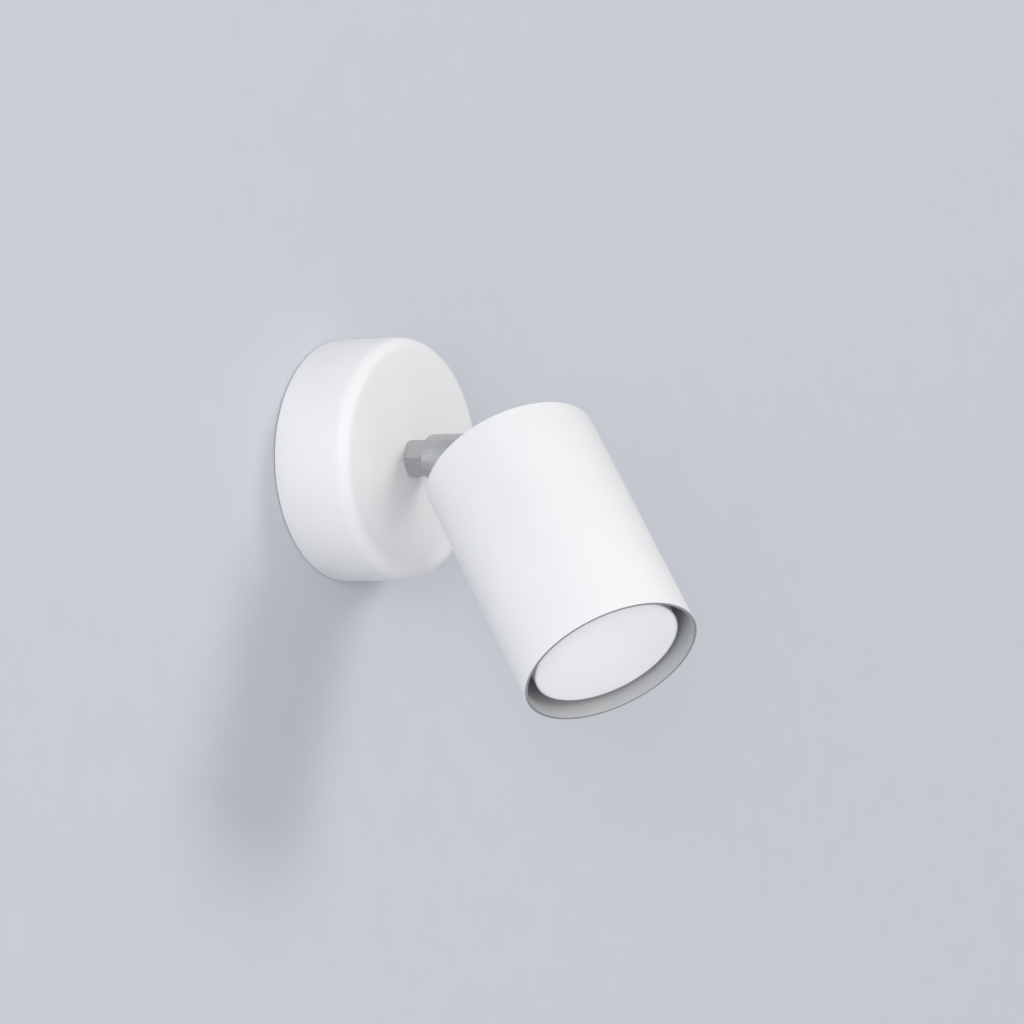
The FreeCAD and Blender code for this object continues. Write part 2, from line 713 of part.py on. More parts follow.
def make_swivel_barrel():
    """Round arm: a blind bearing over the stud's journal below, half of the lap knuckle above."""
    body = new_body("swivel_barrel")
    bearing_r = shank_r + size("running_clearance")
    bearing_top = journal_top + size("hole_clearance")
    bevel = barrel_bevel
    top = pivot + barrel_r + 1
    bore_top = pivot - size("hub_diameter") / 2 - size("hole_clearance")
    turned(body, "barrel", [(bearing_r, barrel_start), (barrel_r - bevel, barrel_start),
                            (barrel_r, barrel_start + bevel), (barrel_r, top), (0, top),
                            (0, bore_top), (bore_r, bore_top), (bore_r, bearing_top),
                            (bearing_r, bearing_top)])
    knuckle_cuts(body, pivot, -1, size("pivot_screw_diameter") / 2 + size("seat_clearance"),
                 size("pivot_head_diameter") / 2 + size("hole_clearance"))
    drilled(body, "stop_screw_hole", "XZ_Plane",
            [(0, stop_height, size("stop_screw_diameter") / 2 + size("seat_clearance"))],
            reverse=True)
    return body


def make_swivel_stop_screw():
    """Dog-point grub screw: its pin runs in the journal's groove and keeps the arm on."""
    body = new_body("swivel_stop_screw")
    radius = size("stop_screw_diameter") / 2
    pin = size("stop_pin_diameter") / 2
    tip = shank_r - size("stop_groove_depth") + size("running_clearance") * 2
    step = shank_r + size("running_clearance") * 3
    outer = barrel_r - size("hole_clearance")
    turned(body, "grub", [(0, -outer), (radius, -outer), (radius, -step), (pin, -step),
                          (pin, -tip), (0, -tip)], role="XY_Plane", lift=stop_height)
    doc.recompute()
    socket = new_sketch(body, "socket_outline", "XZ_Plane", outer)
    draw_hexagon(socket, 0, stop_height, radius)
    pocketed(body, "socket", socket, radius * BEVEL_SHARE)
    return body


def make_swivel_washer():
    """Thin fibre washer between the hexagon and the arm."""
    body = new_body("swivel_washer")
    outer = size("hexagon_width") / 2
    turned(body, "ring", ring(shank_r + size("running_clearance"), outer, hexagon_top,
                              barrel_start))
    return body


def make_pivot_screw():
    """Socket-head screw along X: the tilt hinge's shaft."""
    body = new_body("pivot_screw")
    radius = size("pivot_screw_diameter") / 2
    seat = -pivot_seat
    crown = seat - size("pivot_head_height")
    end = (pivot_seat + size("spring_washer_height") + size("pivot_nut_height")
           + size("hole_clearance"))
    cap_r = size("pivot_head_diameter") / 2
    turned(body, "screw", [(crown, 0), (crown, cap_r), (seat, cap_r), (seat, radius),
                           (end, radius), (end, 0)], axis="H_Axis")
    doc.recompute()
    socket = new_sketch(body, "socket_outline", "YZ_Plane", crown)
    draw_hexagon(socket, 0, 0, radius * 1.5)
    pocketed(body, "socket", socket, size("pivot_head_height") / 2, reverse=True)
    return body


def make_pivot_nut():
    body = new_body("pivot_nut")
    start = pivot_seat + size("spring_washer_height")
    outline = new_sketch(body, "nut_outline", "YZ_Plane", start)
    draw_hexagon(outline, 0, 0, size("pivot_nut_width"))
    draw_circle(outline, 0, 0, size("pivot_screw_diameter") / 2)
    padded(body, "nut", outline, size("pivot_nut_height"))
    return body


def make_pivot_spring_washer():
    """Dished spring washer that keeps the tilt joint tight."""
    body = new_body("pivot_spring_washer")
    low = pivot_seat
    high = low + size("spring_washer_height")
    thick = size("spring_washer_sheet")
    inner = size("pivot_screw_diameter") / 2 + size("seat_clearance")
    outer = size("pivot_nut_width") / 2
    turned(body, "dish", [(low, outer), (low + thick, outer), (high, inner), (high - thick, inner)],
           axis="H_Axis")
    return body


def make_tilt_friction_ring():
    """Friction ring between the two halves of the knuckle, outside the wire pocket."""
    body = new_body("tilt_friction_ring")
    outer = barrel_r - size("hole_clearance")
    inner = outer - size("friction_ring_width")
    turned(body, "ring", [(-half_gap, inner), (half_gap, inner), (half_gap, outer),
                          (-half_gap, outer)], axis="H_Axis")
    return body


# ---------------------------------------------------------------- head

def make_head_knuckle():
    """The head's half of the knuckle, with a hollow threaded shank through the rear pan."""
    body = new_body("head_knuckle")
    low = -(barrel_r + 1)
    bore_bottom = size("hub_diameter") / 2 + size("hole_clearance")
    turned(body, "barrel", [(0, low), (barrel_r, low), (barrel_r, pan_rear), (shank_r, pan_rear),
                            (shank_r, head_shank_top), (bore_r, head_shank_top),
                            (bore_r, bore_bottom), (0, bore_bottom)])
    nut_corner = size("pivot_nut_width") / math.sqrt(3)
    knuckle_cuts(body, ZERO, 1, size("pivot_screw_diameter") / 2 + size("running_clearance"),
                 nut_corner + size("hole_clearance") * 1.5)
    return body


def make_head_tube():
    """Plain spun tube, open at both ends."""
    body = new_body("head_tube")
    turned(body, "tube", ring(head_inner_r, head_r, head_rear, head_mouth))
    return body


def make_rear_pan():
    """Pressed pan set into the tube's rear: it carries the knuckle and the lamp holder."""
    body = new_body("rear_pan")
    outer = head_inner_r - size("seat_clearance")
    flange_top = pan_rear + size("pan_flange")
    sheet_t = size("pan_sheet")
    turned(body, "pan", [(shank_r + size("hole_clearance"), pan_rear), (outer, pan_rear),
                         (outer, flange_top), (outer - sheet_t, flange_top),
                         (outer - sheet_t, pan_front), (shank_r + size("hole_clearance"), pan_front)])
    dressed(body, "outer_fold", "Chamfer", ring_edge(outer, pan_rear), size("pan_edge_bevel"))
    rivet_r = size("rivet_diameter") / 2
    drilled(body, "pan_holes", "XY_Plane",
            [(rivet_offset(), 0, rivet_r), (-rivet_offset(), 0, rivet_r),
             (0, size("pan_earth_offset"), size("pan_earth_diameter") / 2)], both_ways=True)
    return body


def rivet_offset():
    """Distance of the holder bracket's rivets from the head's axis: the middle of its feet."""
    return size("bracket_span") / 2 + size("bracket_foot") / 2


def make_holder_bracket():
    """Hat-shaped strip that stands on the pan and carries the lamp holder on its crown."""
    body = new_body("holder_bracket")
    thick = size("bracket_sheet")
    out = size("bracket_span") / 2
    foot = out + size("bracket_foot")
    low, high = pan_front, holder_rear
    strip = new_sketch(body, "hat_side", "XZ_Plane")
    draw_outline(strip, [(foot, low), (foot, low + thick), (out, low + thick), (out, high),
                         (-out, high), (-out, low + thick), (-foot, low + thick), (-foot, low),
                         (-(out - thick), low), (-(out - thick), high - thick),
                         (out - thick, high - thick), (out - thick, low)])
    padded(body, "hat", strip, size("bracket_width"), centred=True)
    doc.recompute()
    rivet_r = size("rivet_diameter") / 2
    wire_hole = wire_r * 2
    screw_r = size("holder_screw_diameter") / 2
    drilled(body, "hat_holes", "XY_Plane",
            [(rivet_offset(), 0, rivet_r), (-rivet_offset(), 0, rivet_r),
             (size("holder_wire_offset"), 0, wire_hole), (-size("holder_wire_offset"), 0, wire_hole),
             (0, size("holder_screw_offset"), screw_r), (0, -size("holder_screw_offset"), screw_r)],
            both_ways=True)
    return body


def pair_about_axis(body, features):
    """A second copy of the features, half a turn round the body's Z axis."""
    upright = new_sketch(body, "upright", "XZ_Plane")
    pattern = body.newObject("PartDesign::PolarPattern", "pair")
    pattern.Originals = features
    pattern.Axis = (upright, ["V_Axis"])
    pattern.Angle = 360
    pattern.Occurrences = 2
    body.Tip = pattern


def make_bracket_rivets():
    """Two rivets that hold the bracket's feet to the pan."""
    body = new_body("bracket_rivets")
    low = pan_rear
    high = pan_front + size("bracket_sheet")
    shank = new_sketch(body, "shank_circle", "XY_Plane", low)
    draw_circle(shank, rivet_offset(), 0, size("rivet_diameter") / 2)
    features = [padded(body, "shank", shank, high - low)]
    for name, bottom in (("rear_head", low - size("rivet_head_height")), ("front_head", high)):
        circle = new_sketch(body, f"{name}_circle", "XY_Plane", bottom)
        draw_circle(circle, rivet_offset(), 0, size("rivet_head_diameter") / 2)
        features.append(padded(body, name, circle, size("rivet_head_height")))
    doc.recompute()
    pair_about_axis(body, features)
    return body


def arc_slot(radius, half_width, start, stop, low, high):
    """A solid band along an arc about Z with round ends, between two heights."""
    def spot(reach, degrees):
        angle = math.radians(degrees)
        return V(reach * math.cos(angle), reach * math.sin(angle), low)

    def beyond(degrees, sense):
        along = math.radians(degrees + 90 * sense)
        return spot(radius, degrees) + V(math.cos(along), math.sin(along), 0) * half_width

    inner, outer = radius - half_width, radius + half_width
    middle = (start + stop) / 2
    sides = [Part.Arc(spot(outer, start), spot(outer, middle), spot(outer, stop)),
             Part.Arc(spot(outer, stop), beyond(stop, 1), spot(inner, stop)),
             Part.Arc(spot(inner, stop), spot(inner, middle), spot(inner, start)),
             Part.Arc(spot(inner, start), beyond(start, -1), spot(outer, start))]
    outline = Part.Wire([side.toShape() for side in sides])
    return Part.Face(outline).extrude(V(0, 0, high - low))


def make_lamp_holder():
    """Ceramic twist-lock holder: two keyhole arcs in its face open into deeper cavities.

    The lamp's pins enter through the wide ends and turn back to angle 0, where they lock.
    """
    low, high = holder_rear.number, holder_top.number
    face = high - sheet.get("holder_face")
    floor = low + sheet.get("cavity_floor")
    gap = sheet.get("slot_clearance")
    shank = sheet.get("pin_shank_diameter") / 2 + gap
    head = sheet.get("pin_head_diameter") / 2 + gap
    twist = sheet.get("twist_angle")
    radius = pin_offset.number
    disc = Part.makeCylinder(sheet.get("holder_diameter") / 2, high - low, V(0, 0, low))
    cuts = []
    for half_turn in (0, 180):
        entry = math.radians(half_turn + twist)
        mouth = V(radius * math.cos(entry), radius * math.sin(entry), face - 1)
        cuts.append(arc_slot(radius, shank, half_turn, half_turn + twist, face - 1, high + 1))
        cuts.append(arc_slot(radius, head, half_turn, half_turn + twist, floor, face))
        cuts.append(Part.makeCylinder(head - gap / 3, high - face + 2, mouth))
        side = 1 if half_turn == 0 else -1
        wire = V(side * sheet.get("holder_wire_offset"), 0, low - 1)
        cuts.append(Part.makeCylinder(sheet.get("wire_diameter") / 2 + gap, floor - low + 2, wire))
        screw = V(0, side * sheet.get("holder_screw_offset"), low - 1)
        screw_r = sheet.get("holder_screw_diameter") / 2
        cuts.append(Part.makeCylinder(screw_r + gap / 2, high - low + 2, screw))
        seat = V(screw.x, screw.y, face)
        cuts.append(Part.makeCylinder(screw_r * 2, high - face + 1, seat))
    body = disc.cut(cuts)
    return feature_part("lamp_holder", body)


def feature_part(label, shape):
    part = doc.addObject("Part::Feature", label)
    part.Label = label
    part.Shape = shape
    return part


def make_holder_contacts():
    """Two sprung brass contacts on the cavities' floors, under the lamp's pins."""
    body = new_body("holder_contacts")
    low = holder_rear + size("cavity_floor")
    strip = new_sketch(body, "strip_outline", "XY_Plane", low)
    half = wire_r * 1.5
    middle = pin_offset + size("slot_clearance")
    draw_box(strip, (middle - half * 1.2, -half), (middle + half * 1.2, half))
    pad = padded(body, "strip", strip, size("contact_sheet"))
    doc.recompute()
    pair_about_axis(body, [pad])
    return body


def make_holder_screws():
    """Two screws that hold the lamp holder to the bracket's crown."""
    body = new_body("holder_screws")
    radius = size("holder_screw_diameter") / 2
    seat = holder_top - size("holder_face")
    depth = seat - bracket_rear + size("hole_clearance")
    up = size("holder_screw_offset")
    shank = new_sketch(body, "shank_circle", "XY_Plane", seat - depth)
    draw_circle(shank, 0, up, radius)
    head = new_sketch(body, "head_circle", "XY_Plane", seat)
    draw_circle(head, 0, up, radius * 1.8)
    features = [padded(body, "shank", shank, depth), padded(body, "head", head, radius * 1.3)]
    doc.recompute()
    pair_about_axis(body, features)
    return body


def make_head_earth_screw():
    body = new_body("head_earth_screw")
    seat = pan_front + size("ring_terminal_sheet")
    pan_screw(body, 0, size("pan_earth_offset"), seat, size("pan_earth_diameter") / 2,
              seat - pan_rear + size("hole_clearance"))
    return body


# ---------------------------------------------------------------- lamp

def make_lamp_shell():
    """Reflector lamp's shell: a straight collar at the rim, then a curve down to the neck."""
    body = new_body("lamp_shell")
    rim_r = size("lamp_diameter") / 2
    neck_r = size("lamp_neck_diameter") / 2
    neck = lamp_base_rear + size("lamp_base_height")
    cover_r = rim_r - size("lamp_rim") + size("seat_clearance")
    cover_back = lamp_face - size("cover_thickness")
    collar = lamp_face - size("lamp_collar")
    throat = neck + size("lamp_base_height")
    rim_top = lamp_face - size("lamp_rim") / 2
    turned(body, "shell", [(0, neck), (neck_r, neck), (neck_r, throat), (rim_r, collar),
                           (rim_r, rim_top), (cover_r, rim_top), (cover_r, cover_back),
                           (0, cover_back)])
    dressed(body, "shoulder", "Chamfer", ring_edge(rim_r, collar), size("lamp_collar") * BEVEL_SHARE)
    return body


def make_lamp_base():
    body = new_body("lamp_base")
    radius = size("lamp_neck_diameter") / 2 - size("slot_clearance")
    turned(body, "base", ring(0, radius, lamp_base_rear, lamp_base_rear + size("lamp_base_height")))
    return body


def make_lamp_cover():
    """Frosted front cover, set into the shell's rim."""
    body = new_body("lamp_cover")
    radius = size("lamp_diameter") / 2 - size("lamp_rim")
    turned(body, "disc", ring(0, radius, lamp_face - size("cover_thickness"), lamp_face))
    return body


def make_lamp_pins():
    """Two stepped pins that lock in the holder's arcs."""
    body = new_body("lamp_pins")
    shank = new_sketch(body, "shank_circle", "XY_Plane", pin_neck)
    draw_circle(shank, pin_offset, 0, size("pin_shank_diameter") / 2)
    head = new_sketch(body, "head_circle", "XY_Plane", pin_tip)
    draw_circle(head, pin_offset, 0, size("pin_head_diameter") / 2)
    features = [padded(body, "shank", shank, size("pin_shank_length")),
                padded(body, "head", head, size("pin_head_length"))]
    doc.recompute()
    pair_about_axis(body, features)
    return body


# ---------------------------------------------------------------- wires

def rounded_path(points, radii):
    """Straight runs joined by tangent arcs, one radius for each inner point."""
    edges = []
    start = points[0]
    for before, corner, after, radius in zip(points, points[1:], points[2:], radii):
        come = (corner - before).normalize()
        leave = (after - corner).normalize()
        half_turn = come.getAngle(leave) / 2
        step = radius * math.tan(half_turn)
        first = corner - come * step
        last = corner + leave * step
        bisector = (leave - come).normalize()
        middle = corner + bisector * (radius / math.cos(half_turn) - radius)
        edges.append(Part.makeLine(start, first))
        edges.append(Part.Arc(first, middle, last).toShape())
        start = last
    edges.append(Part.makeLine(start, points[-1]))
    return Part.Wire(edges)


WIRE_SIDES = 8


def wire_solid(points, turns):
    """An eight-sided wire swept along a rounded path. turns are the bends' radii in wire diameters."""
    diameter = sheet.get("wire_diameter")
    path = rounded_path(points, [turn_size * diameter for turn_size in turns])
    along = FreeCAD.Rotation(V(0, 0, 1), points[1] - points[0])
    reach = diameter / 2
    corners = []
    for i in range(WIRE_SIDES + 1):
        angle = 2 * math.pi * i / WIRE_SIDES
        spot = V(reach * math.cos(angle), reach * math.sin(angle), 0)
        corners.append(points[0] + along.multVec(spot))
    corners[-1] = corners[0]
    solid = path.makePipeShell([Part.makePolygon(corners)], True, True)
    section = WIRE_SIDES / 2 * reach ** 2 * math.sin(2 * math.pi / WIRE_SIDES)
    expected = path.Length * section
    print(f"wire {path.Length:.1f} mm long, volume ratio {solid.Volume / expected:.4f}")
    return solid


def bore_spot(degrees, height):
    """A point on the circle that the three wires keep inside the bore."""
    angle = math.radians(degrees)
    return V(wire_ring_r.number * math.cos(angle), wire_ring_r.number * math.sin(angle), height)


def ring_terminal(offset, seat, hole_r, outer_r):
    """Ring terminal lying on a plate, its crimp sleeve pointing back at the axis."""
    thick = sheet.get("ring_terminal_sheet")
    sleeve_r = sheet.get("wire_diameter") / 2 + thick / 2
    ring_disc = Part.makeCylinder(outer_r, thick, V(0, offset, seat))
    tongue = Part.makeBox(sleeve_r * 2, outer_r + thick, thick, V(-sleeve_r, offset - outer_r - thick,
                                                                  seat))
    sleeve = Part.makeCylinder(sleeve_r, outer_r, V(0, offset - outer_r - thick / 2, seat + sleeve_r),
                               V(0, -1, 0))
    hole = Part.makeCylinder(hole_r, thick * 3, V(0, offset, seat - thick))
    return ring_disc.fuse([tongue, sleeve]).cut(hole)


def make_block_lead(label, pole, degrees):
    """A lead from the terminal block's pole up into the stud's bore."""
    across = pole * sheet.get("pole_pitch")
    sleeve_z = sheet.get("strap_thickness") + sheet.get("sleeve_height")
    inside = -sheet.get("block_offset") + sheet.get("sleeve_length") / 4
    turn_up = -sheet.get("wire_diameter") / 2
    low = bore_spot(degrees, shank_start.number - sheet.get("shank_diameter") / 2)
    top = bore_spot(degrees, canopy_face.number + sheet.get("hexagon_length") / 2)
    points = [V(across, inside, sleeve_z), V(across, turn_up, sleeve_z), low, top]
    return feature_part(label, wire_solid(points, [1.75, 2.5]))


def make_earth_lead():
    """The lead from the strap's earth screw up into the stud's bore, with its ring terminal."""
    seat = sheet.get("strap_thickness")
    radius = sheet.get("earth_screw_diameter") / 2
    offset = sheet.get("earth_screw_offset")
    terminal = ring_terminal(offset, seat, radius + sheet.get("seat_clearance"), radius * 2)
    sleeve_z = seat + sheet.get("wire_diameter") / 2 + sheet.get("ring_terminal_sheet") / 2
    start = V(0, offset - radius * 2 - 1, sleeve_z)
    low = bore_spot(90, shank_start.number - sheet.get("shank_diameter") / 2)
    top = bore_spot(90, canopy_face.number + sheet.get("hexagon_length") / 2)
    wire = wire_solid([start, V(0, low.y, sleeve_z), top], [1.5])
    return feature_part("earth_lead", terminal.fuse(wire))


def make_head_lead(label, side, degrees):
    """A lead from the knuckle's bore to a contact in the lamp holder."""
    bottom = bore_spot(degrees, pan_rear.number)
    corner = bore_spot(degrees, head_shank_top.number + sheet.get("wire_diameter"))
    across = side * sheet.get("holder_wire_offset")
    spread = abs(across) - abs(corner.x)
    high = V(across, 0, corner.z + spread * 0.6)
    end = V(across, 0, holder_rear.number + sheet.get("cavity_floor") - sheet.get("seat_clearance"))
    return feature_part(label, wire_solid([bottom, corner, high, end], [1.5, 1.5]))


def make_head_earth_lead():
    """The lead from the knuckle's bore to the ring terminal on the rear pan."""
    seat = pan_front.number
    radius = sheet.get("pan_earth_diameter") / 2
    offset = sheet.get("pan_earth_offset")
    terminal = ring_terminal(offset, seat, radius + sheet.get("seat_clearance"), radius * 2)
    sleeve_z = seat + sheet.get("wire_diameter") / 2 + sheet.get("ring_terminal_sheet") / 2
    bottom = bore_spot(90, pan_rear.number)
    over = head_shank_top.number + sheet.get("wire_diameter") * 1.75
    down_y = sheet.get("nut_width") / 2 + sheet.get("wire_diameter") * 1.35
    points = [bottom, V(0, bottom.y, over), V(0, down_y, over), V(0, down_y, sleeve_z),
              V(0, offset - radius * 2, sleeve_z)]
    wire = wire_solid(points, [1.25, 1.25, 1.25])
    return feature_part("head_earth_lead", terminal.fuse(wire))


# ---------------------------------------------------------------- the whole light

for maker in (make_canopy, make_wall_bracket, make_canopy_grub_screws, make_terminal_block,
              make_terminal_sleeves, make_terminal_screws, make_terminal_block_screw,
              make_bracket_earth_screw, make_hex_stud, make_earth_lead):
    placed(maker(), ON_WALL)
placed(make_block_lead("live_lead", -1, 210), ON_WALL)
placed(make_block_lead("neutral_lead", 1, 330), ON_WALL)
nut_hole = shank_r + size("seat_clearance")
hexagon_nut("stud_lock_nut", stud_nut_start, size("nut_width"), size("nut_height"), nut_hole, ON_WALL)
toothed_washer("stud_lock_washer", stud_washer_start, ON_WALL)

for maker in (make_swivel_barrel, make_swivel_stop_screw, make_swivel_washer):
    placed(maker(), ON_ARM)
for maker in (make_pivot_screw, make_pivot_nut, make_pivot_spring_washer, make_tilt_friction_ring):
    placed(maker(), ON_PIVOT)

for maker in (make_head_knuckle, make_head_tube, make_rear_pan, make_holder_bracket,
              make_bracket_rivets, make_lamp_holder, make_holder_contacts, make_holder_screws,
              make_head_earth_screw, make_head_earth_lead, make_lamp_shell, make_lamp_base,
              make_lamp_cover, make_lamp_pins):
    placed(maker(), ON_HEAD)
placed(make_head_lead("head_live_lead", -1, 210), ON_HEAD)
placed(make_head_lead("head_neutral_lead", 1, 330), ON_HEAD)
hexagon_nut("knuckle_lock_nut", head_washer_top, size("nut_width"), size("nut_height"), nut_hole,
            ON_HEAD)
toothed_washer("knuckle_lock_washer", pan_front, ON_HEAD)

doc.recompute()

os.makedirs("parts", exist_ok=True)
for item in doc.Objects:
    if "Invalid" in item.State or "Error" in item.State:
        raise ValueError(f"{item.Label} did not recompute: {item.State}")
for part in PARTS:
    if part.Shape.isNull() or not part.Shape.isValid():
        raise ValueError(f"{part.Label} has no valid shape")
for part in PARTS:
    part.Shape.exportStep(f"parts/{part.Label}.step")
    print(f"{part.Label}: {len(part.Shape.Solids)} solid(s), {part.Shape.Volume:.1f} mm3")
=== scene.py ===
# %% [markdown]
# # A pivoting spotlight wall light
#
# The light is a white steel canopy on a wall, a satin nickel swivel arm on its face, and a white tube
# that holds a frosted reflector lamp. The solids come from a CAD model, which already has every piece
# in its place, in metres: the origin is on the wall behind the canopy, +Y runs into the wall and +Z is
# up. This file gives the pieces their softened edges, their finishes, and the light they stand in.

# %% Load the solids
import math

import bmesh
import bpy
from mathutils import Matrix, Vector


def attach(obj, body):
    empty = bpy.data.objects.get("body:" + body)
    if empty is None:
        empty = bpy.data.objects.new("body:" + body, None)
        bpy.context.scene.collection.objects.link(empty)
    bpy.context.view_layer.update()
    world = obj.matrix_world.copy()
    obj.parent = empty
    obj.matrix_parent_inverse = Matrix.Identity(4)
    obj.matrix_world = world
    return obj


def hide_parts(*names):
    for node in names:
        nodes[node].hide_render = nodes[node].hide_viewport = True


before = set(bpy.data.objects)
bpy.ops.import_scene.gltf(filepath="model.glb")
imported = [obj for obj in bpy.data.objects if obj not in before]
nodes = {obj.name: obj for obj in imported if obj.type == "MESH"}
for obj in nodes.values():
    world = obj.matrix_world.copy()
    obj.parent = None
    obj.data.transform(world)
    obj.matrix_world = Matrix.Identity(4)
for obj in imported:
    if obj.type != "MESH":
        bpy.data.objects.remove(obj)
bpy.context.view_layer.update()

# %% [markdown]
# ## The three places
#
# Each piece was drawn upright, with its own Z axis pointing away from the wall. The arm is swivelled
# about the canopy's axis, and the head is bent down about the pivot that joins it to the arm. The same
# three placements put new pieces where the solids are, so nothing here has to be fitted by eye.

# %% Placements on the wall, the arm and the head
MM = 0.001
PIVOT_DISTANCE = 65.6
SWIVEL_ANGLE = math.radians(15.1)
BEND_ANGLE = math.radians(53.9)


def shift(x, y, z):
    """A move in millimetres."""
    return Matrix.Translation(Vector((x, y, z)) * MM)


away_from_wall = Matrix.Rotation(math.radians(90), 4, "X")
swivel = Matrix.Rotation(SWIVEL_ANGLE, 4, "Y")
bend = Matrix.Rotation(BEND_ANGLE, 4, "X")

ON_WALL = away_from_wall
ON_ARM = swivel @ away_from_wall
ON_HEAD = swivel @ shift(0, -PIVOT_DISTANCE, 0) @ bend @ away_from_wall
head_axis = ON_HEAD.to_3x3() @ Vector((0, 0, 1))
print(f"the head points along {[round(v, 3) for v in head_axis]}")

# %% [markdown]
# ## Adding things to the scene
#
# A mesh, a camera and a lamp are all data, and Blender only shows them once an object holds them and
# the object is linked to the scene. That takes two lines each time, so a short function does it.

# %% One way to add an object
def add_object(name, data):
    added = bpy.data.objects.new(name, data)
    bpy.context.scene.collection.objects.link(added)
    return added


print("objects are added to", bpy.context.scene.collection.name)

# %% [markdown]
# ## The camera
#
# The photograph was taken from the left of the light and slightly below it, with a long lens. A camera
# could be aimed with a Track To constraint, but the fit of the picture needs exact angles. So its own
# right, up and back directions follow from two angles, and its distance and two small steps put the
# canopy and the head where they are in the picture.

# %% Camera at the photograph's angle
CAMERA_AZIMUTH = math.radians(-57.21)
CAMERA_ELEVATION = math.radians(-1.90)
CAMERA_LENS = 152.93
CAMERA_DISTANCE = 1.47805
CAMERA_STEP_RIGHT = 0.05659
CAMERA_STEP_DOWN = 0.01743

right = Vector((math.cos(CAMERA_AZIMUTH), math.sin(CAMERA_AZIMUTH), 0))
back = Vector((math.sin(CAMERA_AZIMUTH) * math.cos(CAMERA_ELEVATION),
               -math.cos(CAMERA_AZIMUTH) * math.cos(CAMERA_ELEVATION),
               math.sin(CAMERA_ELEVATION)))
up = back.cross(right)
camera = add_object("camera", bpy.data.cameras.new("camera"))
camera.data.sensor_width = 36
camera.data.lens = CAMERA_LENS
camera.data.clip_start = 0.05
camera.data.clip_end = 20
camera_place = right * CAMERA_STEP_RIGHT - up * CAMERA_STEP_DOWN + back * CAMERA_DISTANCE
camera_turn = Matrix((right, up, back)).transposed().to_4x4()
camera.matrix_world = Matrix.Translation(camera_place) @ camera_turn
bpy.context.scene.camera = camera
print(f"camera at {[round(v, 3) for v in camera_place]}")

# %% [markdown]
# ## A short way to write shader maths
#
# A material is a network of nodes. It could be built node by node and link by link, but a sum is easier
# to read and to change. `Signal` wraps one output of a node, so that `1 - mask * 0.2` adds the Math
# nodes by itself.

# %% Signal: one output that can stand in a sum
class Signal:
    """One output socket of a network of nodes."""

    def __init__(self, network, socket):
        self.network = network
        self.socket = socket

    def maths(self, operation, first, second):
        return self.network.node("ShaderNodeMath", {"operation": operation}, {0: first, 1: second})

    def __add__(self, other):
        return self.maths("ADD", self, other)

    def __radd__(self, other):
        return self.maths("ADD", other, self)

    def __sub__(self, other):
        return self.maths("SUBTRACT", self, other)

    def __rsub__(self, other):
        return self.maths("SUBTRACT", other, self)

    def __mul__(self, other):
        return self.maths("MULTIPLY", self, other)

    def __rmul__(self, other):
        return self.maths("MULTIPLY", other, self)


print("outputs can be added, subtracted and multiplied")

# %% [markdown]
# Every other node comes from one method, `node`, which takes the node's type, its settings, and the
# values or links of its sockets. The world has nodes as well as the materials, so the method belongs
# to a `Network`, which stands for either.

# %% Network: the nodes of a material or of the world
class Network:
    def __init__(self, tree):
        self.tree = tree

    def fill(self, target, value):
        """Puts a link, a colour or a plain value into a socket."""
        if isinstance(value, Signal):
            self.tree.links.new(value.socket, target)
        elif isinstance(value, tuple) and len(value) == 3 and target.type == "RGBA":
            target.default_value = (*value, 1)
        else:
            target.default_value = value

    def node(self, kind, settings, sockets, output=0):
        added = self.tree.nodes.new(kind)
        for name, value in settings.items():
            if name == "stops":
                for stop, (position, colour) in zip(added.color_ramp.elements, value):
                    stop.position = position
                    stop.color = (*colour, 1)
            else:
                setattr(added, name, value)
        for name, value in sockets.items():
            self.fill(added.inputs[name], value)
        return Signal(self, added.outputs[output])


print("a node takes a type, settings and sockets")

# %% [markdown]
# A `Finish` is a network that ends in one Principled shader, which suits all of this light's surfaces.
# Its methods are the few nodes that every finish here is made of: a place to measure from, a noise, a
# blend of two colours, a range that is stretched, and a bump.

